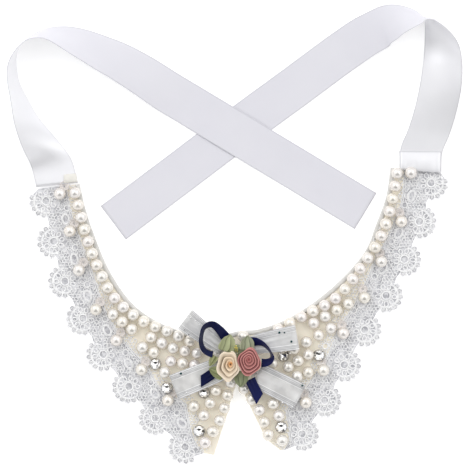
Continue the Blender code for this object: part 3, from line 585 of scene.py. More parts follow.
def keep(obj, slot, *nodes):
    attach(obj, "root")
    if nodes:
        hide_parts(*nodes)
    return obj


# Bib and pearls
CLOTH_BOTTOM, CLOTH_TOP, CLOTH_BEVEL = 0.1, 0.9, 0.2
BINDING_THICKNESS = 0.15
PEARL_RADIUS, PEARL_SQUASH = 3.6, 0.88
PEARL_HEIGHT, LACE_PEARL_HEIGHT = 4.0, 4.2
PEARL_SEGMENTS, PEARL_RINGS = 24, 14
# The binding's fold over the neck edge: how far in, and how high
BINDING_FOLD = ((2.4, 1.05), (1.2, 1.2), (0.1, 1.15), (-0.35, 0.6), (-0.1, 0.2))


def collar_outline(step=2.0):
    outline = []
    for side in (NECKLINE, RIGHT_SEAM, LAPEL_GAP, LEFT_SEAM):
        if side is LAPEL_GAP:
            outline.extend(side)
        else:
            outline.extend(tuple(p) for p in smooth_curve(side, step))
    return outline


def build_bib():
    """The base cloth, with a sheer binding turned over its neck edge."""
    outline = collar_outline()
    cloth = plate("collar_cloth", outline, CLOTH_BOTTOM, CLOTH_TOP, BASE_CLOTH, bevel=CLOTH_BEVEL)
    keep(cloth, "ivory pearl and cotton", "collar_base")
    line = smooth_curve(NECKLINE, 1.5)
    inward = np.array([-left_of(t) for t in plan_tangents(line)])
    sections = [[(*(point + side * reach), height + vary(-0.04, 0.04)) for reach, height in BINDING_FOLD]
                for point, side in zip(line, inward)]
    binding = sheet("neck_binding", sections, BINDING, thickness=BINDING_THICKNESS)
    keep(binding, "ivory pearl and cotton")


def pearl_places():
    places = []
    for count, points in PEARL_ROWS:
        if count == 1:
            places.append(points[0])
        else:
            places.extend(tuple(p) for p in even_points(smooth_curve(points, 0.5), count=count))
    return places


def build_pearls():
    shape = Shape()
    for x, y in pearl_places():
        size = PEARL_RADIUS * vary(0.96, 1.02)
        shape.ball((x, y, PEARL_HEIGHT + vary(-0.1, 0.1)), size, PEARL_SEGMENTS, PEARL_RINGS,
                   squash=PEARL_SQUASH)
    keep(shape.build("collar_pearls", PEARL), "ivory pearl and cotton")


# Lace
PETALS = 9
PICOTS = 7
FAN_SPREAD = radians(82)
FAN_EDGE = 7.35
FAN_REACH = 10.4
# Rings in the middle of a scallop: half lengths, height, corners, thickness and sides of the thread
FAN_RINGS = ((2.5, 2.45, 0.7, 20, 0.5, 7), (3.35, 3.3, 0.5, 22, 0.28, 6))
PETAL_RING, PETAL_LENGTH, PETAL_WIDTH = 5.05, 1.5, 1.15
# Cords round a scallop: radius and thickness, and how far they reach to each side
FAN_CORDS = ((6.85, 0.36), (FAN_EDGE, 0.3))
CORD_SPREAD = radians(100)
# Slot between two scallops: half length, half width and thickness of its two threads
SLOT_RINGS = ((2.9, 1.75, 0.36), (3.6, 2.4, 0.28))
GROUND_BOTTOM, GROUND_TOP = 0.05, 0.2
OVERLAY_LEVEL = 0.85
# Wider than any angle in a scallop, for one that is whole
WHOLE = 9.0
NET_CELL = 1.15
FUZZ_COUNT = 420
OVERLAY_WIDTH = 6.5
# Small flowers of eight petals, in the edging and on the cloth
Flower = namedtuple("Flower", "radius height wobble reach petal_width petal_height petal_wobble thick")
EDGING_FLOWER = Flower(1.75, 0.65, 0.0, 3.25, 0.78, 0.5, 0.08, 0.28)
CLOTH_FLOWER = Flower(1.7, 1.6, 0.04, 3.1, 0.75, 1.4, 0.1, 0.3)


def tape_frames(tape):
    centres = even_points(smooth_curve(tape, 0.5), count=8)
    return [(c, t, left_of(t)) for c, t in zip(centres, plan_tangents(centres))]


def ring_path(centre, radius_x, radius_y, along, height, count=16, wobble=0.0):
    across = left_of(along)
    path = []
    for i in range(count):
        a = 2 * pi * i / count
        r = 1.0 + vary(-wobble, wobble)
        p = centre + along * radius_x * r * cos(a) + across * radius_y * r * sin(a)
        path.append((*p, height))
    return path


def build_flower(shape, spot, along, kind):
    ring = ring_path(spot, kind.radius, kind.radius, along, kind.height, 16, kind.wobble)
    shape.tube(ring, 0.4, 7, closed=True)
    for i in range(8):
        outward = along * cos(pi * i / 4) + left_of(along) * sin(pi * i / 4)
        petal = ring_path(spot + outward * kind.reach, 0.95, kind.petal_width, outward,
                          kind.petal_height, 9, kind.petal_wobble)
        shape.tube(petal, kind.thick, 5, closed=True)


def seam_line(seam, step):
    """Points along a seam, and which way lies outside the bib at each of them."""
    edge = smooth_curve(seam, step)
    return edge, np.array([left_of(t) for t in plan_tangents(edge)])


class Fan:
    """One scallop of the lace, with polar places round its ring."""

    def __init__(self, centre, along, inward, first=-WHOLE, last=WHOLE):
        self.centre = centre
        self.along = along
        self.inward = inward
        self.first = first
        self.last = last

    def at(self, radius, angle, height=0.45):
        reach = -self.inward * cos(angle) + self.along * sin(angle)
        p = self.centre + reach * radius
        return (*p, height)

    def holds(self, angle):
        return self.first <= angle <= self.last

    def picot_angles(self):
        width = 2 * FAN_SPREAD / PICOTS
        angles = [-FAN_SPREAD + width * (i + 0.5) for i in range(PICOTS)]
        return width, [a for a in angles if self.holds(a)]

    def edge(self):
        """The scalloped outline of the fan, for the ground under it."""
        points = []
        for i in range(49):
            angle = FAN_SPREAD * (2 * i / 48 - 1)
            if not self.holds(angle):
                continue
            lobe = abs(sin((angle + FAN_SPREAD) / (2 * FAN_SPREAD) * PICOTS * pi))
            radius = FAN_EDGE + 0.2 + 2.4 * lobe ** 0.7
            points.append(np.array(self.at(radius, angle)[:2]))
        return points


def build_fan(shape, fan):
    """A ring, petals round it, two arcs of cord and looped picots outside."""
    for length, width, height, count, thick, sides in FAN_RINGS:
        ring = ring_path(fan.centre, length, width, fan.along, height, count, 0.03)
        shape.tube(ring, thick, sides, closed=True)
    for i in range(PETALS):
        spot = np.array(fan.at(PETAL_RING, 2 * pi * (i + 0.5) / PETALS)[:2])
        outward = (spot - fan.centre) / norm(spot - fan.centre)
        size = vary(0.85, 1.12)
        petal = ring_path(spot, PETAL_LENGTH * size, PETAL_WIDTH * size, outward, 0.5, 11, 0.1)
        shape.tube(petal, 0.38, 6, closed=True)
    for radius, thick in FAN_CORDS:
        angles = [CORD_SPREAD * (2 * i / 30 - 1) for i in range(31)]
        path = [fan.at(radius + vary(-0.06, 0.06), a, 0.45) for a in angles
                if fan.first - 0.3 <= a <= fan.last + 0.3]
        shape.tube(path, thick, 6)
    width, angles = fan.picot_angles()
    for middle in angles:
        tip = FAN_REACH + vary(-0.25, 0.05)
        loop = []
        for k in range(11):
            share = k / 10
            angle = middle + width * 0.44 * sin(pi * (share - 0.5))
            radius = FAN_EDGE + (tip - FAN_EDGE) * sin(pi * share) ** 0.5
            loop.append(fan.at(radius, angle, 0.42))
        shape.tube(loop, 0.3, 6)
        inner = [fan.at(FAN_EDGE + (r - FAN_EDGE) * 0.62, middle + (a - middle) * 0.45, 0.4)
                 for r, a in ((FAN_EDGE, middle - width * 0.4), (tip * 0.98, middle - width * 0.3),
                              (tip, middle), (tip * 0.98, middle + width * 0.3),
                              (FAN_EDGE, middle + width * 0.4))]
        shape.tube(inner, 0.22, 5)
        shape.tube([fan.at(7.2, middle, 0.42), fan.at(tip - 1.2, middle, 0.42)], 0.2, 5)


def lace_fans(frames, top_first):
    limit = radians(40)
    top = 0 if top_first else len(frames) - 1
    fans = []
    for index, (centre, along, inward) in enumerate(frames):
        first = -limit if index == top and top_first else -WHOLE
        last = limit if index == top and not top_first else WHOLE
        fans.append(Fan(centre, along, inward, first, last))
    return fans


def lace_region(fans, seam, top_corner, top_first):
    """The closed outline of the lace, from its scallops to the seam."""
    outline = []
    for index, fan in enumerate(fans):
        outline.extend(fan.edge())
        if index + 1 < len(fans):
            outline.append((fan.centre + fans[index + 1].centre) / 2 - fan.inward * 0.8)
    corner = [np.array(top_corner)]
    edge, side = seam_line(seam, 2.0)
    seam = [np.array(p) for p in edge + side * 0.2]
    return np.array(corner + outline + seam if top_first else outline + corner + seam)


def build_lace(name, tape, seam, top_corner, top_first):
    frames = tape_frames(tape)
    fans = lace_fans(frames, top_first)
    region = lace_region(fans, seam, top_corner, top_first)
    shape = Shape()
    clear = []
    for index, fan in enumerate(fans):
        build_fan(shape, fan)
        clear.append((fan.centre, fan.along, 7.0, 7.0, True))
        if index < len(fans) - 1:
            clear.extend(build_repeat(shape, fan))
    fill_net(shape, region, clear)
    add_fuzz(shape, region, FUZZ_COUNT)
    edge, side = seam_line(seam, 1.2)
    for shift, thick in ((0.2, 0.36), (1.1, 0.3)):
        line = edge + side * shift
        shape.tube(np.column_stack([line, np.full(len(line), 0.8)])[3:-3], thick, 6)
    lace = shape.build(name + "_threads", LACE)
    keep(lace, "white lace", name)
    # A sheet of painted shade under the lace, grey through its gaps
    ground = plate(name + "_ground", [tuple(p) for p in region], GROUND_BOTTOM, GROUND_TOP, TULLE_PAINTED_SHADE)
    keep(ground, "white lace")


def add_fuzz(shape, region, count, level=0.0):
    """Short loose threads that make the lace uneven."""
    low, high = region.min(axis=0), region.max(axis=0)
    placed = 0
    while placed < count:
        spot = np.array([vary(low[0], high[0]), vary(low[1], high[1])])
        if not inside(spot, region):
            continue
        placed += 1
        turn = vary(0, pi)
        half = np.array([cos(turn), sin(turn)]) * vary(0.35, 0.9)
        bend = left_of(half) * vary(-0.6, 0.6)
        z = vary(0.55, 0.95) + level
        path = [(*(spot - half), z - 0.1), (*(spot + bend), z), (*(spot + half), z - 0.1)]
        shape.tube(path, vary(0.16, 0.24), 5)


def build_overlay(name, seam, spots):
    """Lace that reaches inwards over the base cloth, up to the pearls."""
    edge, side = seam_line(seam, 2.0)
    region = np.vstack([edge + side * 0.6, (edge - side * OVERLAY_WIDTH)[::-1]])
    x_axis = np.array([1.0, 0.0])
    clear = [(np.array(spot), x_axis, PEARL_RADIUS, PEARL_RADIUS, False) for spot in spots]
    shape = Shape()
    for spot in even_points(edge - side * 3.4, count=9)[1:-1]:
        if min(norm(spot - np.array(place)) for place in spots) < 6.0:
            continue
        build_flower(shape, spot, x_axis, CLOTH_FLOWER)
        clear.append((spot, x_axis, 4.0, 4.0, False))
    fill_net(shape, region, clear, OVERLAY_LEVEL)
    add_fuzz(shape, region, FUZZ_COUNT // 3, 0.7)
    keep(shape.build(name + "_overlay", LACE), "white lace")


def build_repeat(shape, fan):
    """The small flower and the slot between two scallops, and where they keep the net away."""
    flower = fan.centre + fan.along * 6.5 + fan.inward * 11.6
    slot = fan.centre + fan.along * 13.0 + fan.inward * 9.5
    build_flower(shape, flower, fan.along, EDGING_FLOWER)
    for length, width, thick in SLOT_RINGS:
        shape.tube(ring_path(slot, length, width, fan.along, 0.55, 18), thick, 6, closed=True)
    return [(flower, fan.along, 4.1, 4.1, False), (slot, fan.along, 3.7, 2.5, False)]


def fill_net(shape, region, clear, level=0.0):
    """An uneven honeycomb of thread between the motifs, inside the region."""
    low, high = region.min(axis=0) - 2, region.max(axis=0) + 2
    corners = {}

    def corner(x, y):
        key = (round(x * 10), round(y * 10))
        if key not in corners:
            corners[key] = np.array([x + vary(-0.34, 0.34), y + vary(-0.34, 0.34)])
        return corners[key]

    def free(point):
        if not inside(point, region):
            return False
        for centre, along, half_length, half_width, fan in clear:
            offset = point - centre
            u = offset @ along / half_length
            v = offset @ left_of(along) / half_width
            if u * u + v * v < 1.0 or (fan and v < -0.2 and u * u + v * v < 2.4):
                return False
        return True

    step_x, step_y = NET_CELL * sqrt(3), NET_CELL * 1.5
    for row in range(int((high[1] - low[1]) / step_y) + 1):
        for col in range(int((high[0] - low[0]) / step_x) + 1):
            x = low[0] + col * step_x + (step_x / 2 if row % 2 else 0.0)
            y = low[1] + row * step_y
            ring = [corner(x + NET_CELL * cos(radians(30 + 60 * k)),
                           y + NET_CELL * sin(radians(30 + 60 * k))) for k in range(6)]
            for k in range(3):
                a, b = ring[k], ring[k + 1]
                if CHANCE.random() < 0.05 or not (free(a) and free(b)):
                    continue
                height = vary(0.42, 0.66) + level
                middle = (a + b) / 2 + np.array([vary(-0.12, 0.12), vary(-0.12, 0.12)])
                ends = 0.45 + level
                shape.tube([(*a, ends), (*middle, height), (*b, ends)], vary(0.22, 0.4), 5)


# Pearls on each lace edging, and how far the cup sequin beside each of them lies from it
LEFT_LACE_PEARLS = ((-103.7, 23.5), (-97.8, 1.4), (-92.4, -21.8), (-82.3, -45.3), (-70.1, -63.5),
                    (-55.2, -80.9), (-39.5, -99.2))
RIGHT_LACE_PEARLS = ((104.9, 36.0), (99.2, 7.1), (87.3, -16.7), (77.2, -38.2), (64.7, -59.3),
                     (52.8, -81.3), (42.4, -100.4))
LEFT_CUP, RIGHT_CUP = (2.6, 4.6), (-0.9, 5.0)
SEQUIN_RIBS = 14
SEQUIN_RINGS = ((0.5, 0.25), (1.2, 0.3), (2.2, 0.75), (2.9, 1.45))
SEQUIN_THICKNESS, SEQUIN_HEIGHT = 0.18, 1.6
# A sequin above this line would lie under the hem of the right tie
SEQUIN_LIMIT = 36.0


def next_corners(count):
    """Each corner of a ring with the one after it."""
    return [(i, (i + 1) % count) for i in range(count)]


def build_lace_beads(name, places, shift):
    shape = Shape()
    cups = Shape()
    for x, y in places:
        shape.ball((x, y, LACE_PEARL_HEIGHT), PEARL_RADIUS * vary(0.96, 1.0), PEARL_SEGMENTS,
                   PEARL_RINGS, squash=PEARL_SQUASH)
        if y + shift[1] < SEQUIN_LIMIT:
            cup_sequin(cups, x + shift[0], y + shift[1], SEQUIN_HEIGHT)
    keep(shape.build(name + "_pearls", PEARL), "ivory pearl and cotton")
    keep(cups.build(name + "_sequins", SEQUIN), "ivory pearl and cotton")


def cup_sequin(shape, x, y, z):
    """A fluted cup sequin: a thin ribbed bowl with a hole in the middle."""
    count = SEQUIN_RIBS * 4
    verts = []
    for layer in (0.0, SEQUIN_THICKNESS):
        for radius, height in SEQUIN_RINGS:
            for i in range(count):
                angle = 2 * pi * i / count
                level = height + layer + 0.16 * cos(SEQUIN_RIBS * angle) * (radius / SEQUIN_RINGS[-1][0])
                verts.append((x + radius * cos(angle), y + radius * sin(angle), z + level))
    faces = []
    rings = len(SEQUIN_RINGS)
    for ring in range(rings - 1):
        for i, j in next_corners(count):
            a, b = ring * count, (ring + 1) * count
            c, d = a + rings * count, b + rings * count
            faces.append((a + i, a + j, b + j, b + i))
            faces.append((c + i, d + i, d + j, c + j))
    top = rings * count
    rim = (rings - 1) * count
    for i, j in next_corners(count):
        faces.append((i, top + i, top + j, j))
        faces.append((rim + i, rim + j, top + rim + j, top + rim + i))
    shape.add(verts, faces)


# Satin ties
TIE_STEP, TIE_REST = 1.6, 0.28
TIE_THICKNESS, HEM_THICKNESS = 0.36, 0.3
# Each hem: its corners at the seam and at the fold, then its height at the seam and at the fold
Hem = namedtuple("Hem", "name seam_left seam_right fold_left fold_right seam_z fold_z")
HEMS = (
    Hem("tie_right_hem", (98.4, 38.0), (122.6, 36.0), (98.2, 48.8), (123.2, 48.6), 3.0, 1.0),
    Hem("tie_left_tab", (-101.4, 29.8), (-93.2, 30.6), (-101.4, 35.0), (-94.0, 35.6), 2.9, 2.3),
)


def tie_sections(rows):
    """Cross-sections of a tie, each from its lower edge to its raised one."""
    sections = []
    places = [0.0, 0.012, *np.linspace(0.0, 1.0, 13)[1:-1], 0.988, 1.0]
    for x, y, across, tilt, bulge, lift in smooth_curve(rows, TIE_STEP):
        turn = radians(across)
        tilt = radians(min(max(tilt, 0.0), 180.0))
        outward = np.array([cos(turn), sin(turn), 0.0])
        upward = np.array([0.0, 0.0, 1.0])
        chord = outward * cos(tilt) + upward * sin(tilt)
        belly = outward * sin(tilt) - upward * cos(tilt)
        length = TIE_WIDTH - 8 * bulge ** 2 / (3 * TIE_WIDTH)
        low = np.array([x, y, TIE_REST + max(lift, 0.0)])
        sections.append([low + chord * length * t + belly * bulge * 4 * t * (1 - t) for t in places])
    return sections


def build_tie(name, rows, face, back, hem):
    tie = sheet(name + "_ribbon", tie_sections(rows), face, thickness=TIE_THICKNESS, back=back)
    keep(tie, "white satin ribbon", name)


def build_hem(hem, material):
    """The turned end of a tie, puckered where it is sewn to the collar."""
    seam_left, seam_right, fold_left, fold_right = (np.array(p) for p in hem[1:5])
    width = norm(seam_right - seam_left)
    count = max(8, int(width))

    def place(share, t):
        seam = seam_left + (seam_right - seam_left) * t
        fold = fold_left + (fold_right - fold_left) * t
        point = seam + (fold - seam) * share
        pucker = 0.16 * (1 - share) * sin(t * width * 1.1) + 0.08 * sin(t * 9 + share * 5)
        edge = -1.2 * max(0.0, abs(2 * t - 1) - 0.9) * 10
        drop = -0.5 * max(0.0, share - 0.92) / 0.08
        height = hem.seam_z + (hem.fold_z - hem.seam_z) * share + 0.9 * sin(pi * share) ** 0.7
        return (*point, max(height + pucker + edge * 0.5 + drop, 0.7))

    sections = surface(np.linspace(0, 1, 14), np.linspace(0, 1, count), place)
    piece = sheet(hem.name, sections, material, thickness=HEM_THICKNESS)
    keep(piece, "white satin ribbon")
    return piece


# Bow
Loop = namedtuple("Loop", "name root_x root_y tip_x tip_y root_width tip_width rise")
ORGANZA_LOOPS = (
    Loop("organza_loop_left", -6.0, -68.6, -29.2, -50.9, 7.6, 13.7, 5.2),
    Loop("organza_loop_right", 10.0, -66.2, 37.2, -61.5, 9.6, 14.4, 5.2),
)
Tail = namedtuple("Tail", "name root_x root_y tip_x tip_y root_width tip_width slant")
ORGANZA_TAILS = (
    Tail("organza_tail_left", -8.0, -80.2, -35.9, -91.4, 13.6, 15.2, 0.0),
    Tail("organza_tail_right", 13.5, -84.0, 39.0, -96.8, 14.2, 15.4, 0.0),
)
# Navy ribbon round each loop: its lower edge in plan, its tilt and its height
NAVY_LEFT = ((-3.8, -67.2, 10, 11.0), (-7.8, -62.8, 16, 12.0), (-11.0, -58.2, 36, 13.0),
             (-13.7, -55.6, 50, 13.4), (-16.8, -56.4, 64, 13.4), (-18.3, -59.9, 70, 13.4),
             (-18.4, -64.6, 66, 13.2), (-17.0, -67.8, 62, 12.8), (-14.6, -69.3, 58, 12.2),
             (-12.4, -69.8, 54, 11.8))
NAVY_RIGHT = ((9.6, -66.8, 25, 11.0), (12.9, -66.4, 36, 12.0), (16.3, -66.6, 62, 13.0),
              (19.3, -68.6, 74, 13.2), (21.2, -71.2, 78, 13.2), (21.2, -73.4, 64, 12.8),
              (19.0, -74.3, 46, 12.2), (16.2, -74.2, 35, 11.4))
NAVY_TAILS = (
    Tail("navy_tail_left", -10.5, -81.5, -19.9, -87.8, 6.0, 6.0, 1.9),
    Tail("navy_tail_right", 9.2, -86.5, 15.0, -98.2, 6.0, 6.4, -2.0),
)
Leaf = namedtuple("Leaf", "name stem_x stem_y tip_x tip_y width z")
LEAVES = (
    Leaf("leaf_upper_left", -5.6, -69.6, -2.4, -59.8, 9.6, 14.2),
    Leaf("leaf_left", -11.4, -72.6, -14.7, -78.6, 4.4, 9.8),
    Leaf("leaf_lower_left", -6.6, -84.2, -15.0, -80.0, 7.0, 9.8),
    Leaf("leaf_upper_right", 7.2, -69.0, 7.8, -60.4, 8.6, 14.2),
    Leaf("leaf_bottom", 4.6, -81.6, 3.6, -91.0, 9.0, 9.8),
)
# A rose's outline has this many corners, the first of them at the given angle
Rose = namedtuple("Rose", "name x y half_length half_width lean_x lean_y turns corners corner_angle "
                          "bud opening")
ROSES = (
    Rose("rose_peach", -4.1, -78.2, 9.0, 6.6, 2.0, 1.2, 4.2, 5, 55, 0.13, 1.7),
    Rose("rose_pink", 8.7, -75.9, 8.1, 6.7, -0.3, 1.6, 5.3, 4, 256, 0.04, 1.15),
)
NAVY_WIDTH = 6.0
LOOP_THICKNESS, TAIL_THICKNESS, NAVY_THICKNESS = 0.18, 0.2, 0.28
LEAF_THICKNESS, PETAL_THICKNESS = 0.3, 0.26
LAYER_1, LAYER_2 = 7.5, 8.8
ROSE_FOOT, ROSE_TOP = 8.8, 20.9
# A rose's ribbon from foot to lip: share of its width, inset and drop
ROSE_PROFILE = ((0.0, -2.0, -7.0), (0.25, -1.7, -4.0), (0.45, -1.35, -2.2), (0.62, -1.0, -1.2),
                (0.76, -0.62, -0.6), (0.88, -0.28, -0.22), (0.96, 0.0, -0.05), (1.0, 0.1, -0.3))
# A leaf's width at shares of its length
LEAF_OUTLINE = ((0.0, 0.25, 0.5, 0.78, 1.0), (0.82, 1.0, 0.96, 0.62, 0.1))
# Middle of the knot, and half its length and width
KNOT = (1.6, -71.0, 5.6, 5.2)

# Sparkles on the organza: x, y and height, and the size of the dark ones
GLINTS = ((-31.7, -83.1, 8.6, 0.75), (26.6, -58.7, 13.2, 0.8), (29.6, -58.7, 13.3, 0.55),
          (33.7, -64.0, 13.4, 0.75), (40.3, -90.2, 8.7, 0.7))
BEADS = ((-25.8, -49.8, 13.4), (-23.1, -51.5, 13.0), (-21.0, -54.0, 12.6), (-29.7, -57.0, 13.0),
         (-27.0, -59.8, 12.6), (-24.9, -61.3, 12.0), (-28.4, -94.6, 8.6), (-31.6, -94.0, 8.6),
         (27.4, -71.8, 8.9), (29.0, -73.2, 8.8), (31.2, -72.0, 9.0), (33.0, -71.0, 9.2),
         (28.4, -100.2, 8.7), (31.2, -101.6, 8.7), (34.2, -102.6, 8.7))
STAMENS = ((1.0, -66.4, 16.6), (1.6, -67.6, 16.9), (0.4, -67.4, 16.4))


def ribbon_frame(ribbon):
    root = np.array([ribbon.root_x, ribbon.root_y])
    tip = np.array([ribbon.tip_x, ribbon.tip_y])
    length = norm(tip - root)
    return root, (tip - root) / length, length


def edge_threads(name, sections):
    """Silver threads laid along both selvedges of a ribbon."""
    rows = np.array(sections)
    last = rows.shape[1] - 1
    shape = Shape()
    for place, thick in ((0.0, 0.17), (0.085, 0.1), (0.17, 0.1)):
        for share in (place, 1 - place):
            column = share * last
            low = int(column)
            high = min(low + 1, last)
            path = rows[:, low] * (1 - column + low) + rows[:, high] * (column - low)
            shape.tube(path + np.array([0.0, 0.0, 0.14]), thick, 5)
    keep(shape.build(name + "_threads", SILVER), "silver organza")


def build_loop(loop, z):
    """A ribbon out to the fold and back on top, pleated where it meets the knot."""
    root, along, length = ribbon_frame(loop)
    across = left_of(along)
    fold = loop.rise / 2
    turn = 1 - fold / length
    profile = [(length * s, 0.0) for s in np.linspace(0, turn, 8)]
    for i in range(1, 10):
        angle = -pi / 2 + pi * i / 10
        profile.append((length - fold + fold * cos(angle), fold + fold * sin(angle)))
    for s in np.linspace(turn, 0, 12):
        profile.append((length * s, loop.rise * (0.28 + 0.72 * (s / turn) ** 0.7)))

    def place(row, t):
        reach, height = row
        share = reach / length
        half = (loop.root_width + (loop.tip_width - loop.root_width) * max(share, 0) ** 0.6) / 2
        pleat = 0.35 * (1 - share) * cos(t * 9.0) + 0.1 * cos(t * 14 + share * 3)
        return (*(root + along * reach - across * half * t), z + 0.4 + height + pleat)

    sections = surface(profile, np.linspace(-1, 1, 25), place)
    piece = sheet(loop.name + "_ribbon", sections, ORGANZA, thickness=LOOP_THICKNESS)
    keep(piece, "silver organza", loop.name)
    edge_threads(loop.name, sections)


def build_tail(tail, z, material, slot, sheer):
    """A cut end of ribbon lying flat, a little rippled at its root."""
    root, along, length = ribbon_frame(tail)
    across = left_of(along)

    def place(share, t):
        half = (tail.root_width + (tail.tip_width - tail.root_width) * share ** 0.5) / 2
        pleat = 0.22 * (1 - share) ** 1.5 * cos(t * 9.0) + 0.06 * sin(share * 9 + t)
        point = root + along * (length * share - tail.slant * t * share) - across * half * t
        return (*point, z + 0.3 + pleat)

    sections = surface(np.linspace(0, 1, 18), np.linspace(-1, 1, 21), place)
    piece = sheet(tail.name + "_ribbon", sections, material, thickness=TAIL_THICKNESS)
    keep(piece, slot, tail.name)
    if sheer:
        edge_threads(tail.name, sections)


def build_navy_loop(name, rows, side):
    track = smooth_curve(rows, 0.6)
    sections = []
    for (x, y, tilt, z), tangent in zip(track, plan_tangents(track)):
        across = left_of(tangent) * side
        reach = NAVY_WIDTH * cos(radians(tilt))
        rise = NAVY_WIDTH * sin(radians(tilt))
        sections.append([(x + across[0] * reach * t, y + across[1] * reach * t, z + rise * t)
                         for t in np.linspace(0, 1, 9)])
    piece = sheet(name + "_ribbon", sections, NAVY, thickness=NAVY_THICKNESS)
    keep(piece, "navy satin ribbon", name)


def build_leaf(leaf):
    """A folded ribbon leaf, gathered at its foot and creased twice along its length."""
    stem = np.array([leaf.stem_x, leaf.stem_y])
    tip = np.array([leaf.tip_x, leaf.tip_y])
    along = tip - stem
    across = left_of(along / norm(along))
    lean = vary(-0.12, 0.12)

    def place(share, t):
        spread = np.interp(share, *LEAF_OUTLINE) * (1 + 0.04 * sin(share * 11))
        point = stem + along * share + across * leaf.width / 2 * spread * (t + lean * share)
        crease = 0.9 * cos(t * 5.2 + 0.5 + share) * (1 - 0.5 * share)
        gather = 0.2 * sin(t * 15) * (1 - share) ** 2
        return (*point, leaf.z + 1.0 + crease * 0.7 + gather)

    # Place across the leaf, read by its painted crease shade
    def mark(share, t):
        return (t + 1) / 2 + 0.05 * sin(share * 6), share * 8.0, 0.0

    shares, sides = np.linspace(0, 1, 20), np.linspace(-1, 1, 21)
    sections, marks = surface(shares, sides, place), surface(shares, sides, mark)
    piece = sheet(leaf.name + "_ribbon", sections, LEAVES_PAINT[leaf.name], thickness=LEAF_THICKNESS,
                  marks=np.array(marks))
    keep(piece, "olive satin ribbon", leaf.name)


def build_rose(rose, material, slot):
    """Ribbon rolled in a widening spiral, each turn flaring outwards a little lower."""
    steps = int(rose.turns * 32)
    open_share = 1 - 0.7 / rose.turns
    sections, marks = [], []
    for i in range(steps + 1):
        share = i / steps
        angle = 2 * pi * rose.turns * share
        grown = min(share / open_share, 1.0)
        spread = rose.bud + (1 - rose.bud) * grown ** rose.opening
        pitch = (1 - rose.bud) * rose.opening * max(share, 0.12) ** (rose.opening - 1) / rose.turns
        corner = cos(rose.corners * (angle - radians(rose.corner_angle)))
        wave = 1 + 0.085 * share * corner
        centre_x = rose.x + rose.lean_x * (1 - share)
        centre_y = rose.y + rose.lean_y * (1 - share)
        lip = ROSE_TOP - 3.8 * share ** 1.3 + 0.3 * share * corner
        section, mark = [], []
        for t, inset, drop in ROSE_PROFILE:
            radius = max(spread * wave + inset * pitch * 0.8, 0.03)
            height = max(lip + drop * (0.5 + 0.5 * share), ROSE_FOOT)
            section.append((centre_x + (rose.half_width - 0.2) * radius * cos(angle),
                            centre_y + (rose.half_length - 0.2) * radius * sin(angle), height))
            mark.append((t, angle * 3.0, share))
        sections.append(section)
        marks.append(mark)
    piece = sheet(rose.name + "_ribbon", sections, material, thickness=PETAL_THICKNESS,
                  marks=np.array(marks))
    keep(piece, slot, rose.name)


def build_knot():
    """The gathered ribbon under the flowers, seen only between them."""
    x, y, half_length, half_width = KNOT
    angles = [2 * pi * i / 48 for i in range(49)]
    sections = [[(x + half_length * ring * cos(a), y + half_width * ring * sin(a),
                  12.6 - 3.2 * ring ** 2 + 0.5 * sin(a * 5 + ring * 3) * ring) for a in angles]
                for ring in np.linspace(0.06, 1.0, 10)]
    knot = sheet("bow_knot", sections, LEAVES_PAINT["leaf_bottom"], thickness=LEAF_THICKNESS)
    keep(knot, "olive satin ribbon")


def build_sparkles():
    """Small cut sequins on the organza, and a few yellow stamens between the roses."""
    dark, bright, yellow = Shape(), Shape(), Shape()
    for x, y, z, size in GLINTS:
        dark.ball((x, y, z), size, 6, 4, squash=0.5)
    for x, y, z in BEADS:
        bright.ball((x, y, z), vary(0.35, 0.6), 6, 4, squash=0.6)
    for x, y, z in STAMENS:
        yellow.ball((x, y, z), 0.42, 10, 8)
        yellow.tube([(x, y, z), (x + 0.2, y - 1.6, z - 1.0), (x + 0.2, y - 3.0, z - 3.0)], 0.14, 6)
    keep(dark.build("bow_sequins", GLITTER, smooth=False), "silver organza")
    keep(bright.build("bow_glints", CRYSTAL, smooth=False), "silver organza")
    keep(yellow.build("bow_stamens", YELLOW), "olive satin ribbon")


def build_bow():
    for loop in ORGANZA_LOOPS:
        build_loop(loop, LAYER_1)
    for tail in ORGANZA_TAILS:
        build_tail(tail, LAYER_1, ORGANZA, "silver organza", True)
    build_navy_loop("navy_loop_left", NAVY_LEFT, -1)
    build_navy_loop("navy_loop_right", NAVY_RIGHT, 1)
    for tail in NAVY_TAILS:
        build_tail(tail, LAYER_2, NAVY, "navy satin ribbon", False)
    for leaf in LEAVES:
        build_leaf(leaf)
    build_rose(ROSES[0], PEACH, "peach satin ribbon")
    build_rose(ROSES[1], PINK, "rose pink satin ribbon")
    build_knot()
    build_sparkles()


# Crystals: height, radius and turn of each ring of corners, then the rings and claws of the setting
STONE_SIDES = 12
STONE_RINGS = ((3.2, 3.25, 0.0), (4.0, 2.7, 0.5), (4.7, 1.7, 0.0), (4.85, 1.5, 0.0))
STONE_TABLE, STONE_FOOT = 4.35, 1.6
SETTING_RINGS = ((1.4, 3.1, 0.22), (2.9, 3.3, 0.18))
CLAW = ((3.25, 1.3), (3.35, 3.1), (3.05, 4.0), (2.55, 4.45))
CLAW_THICKNESS = 0.3


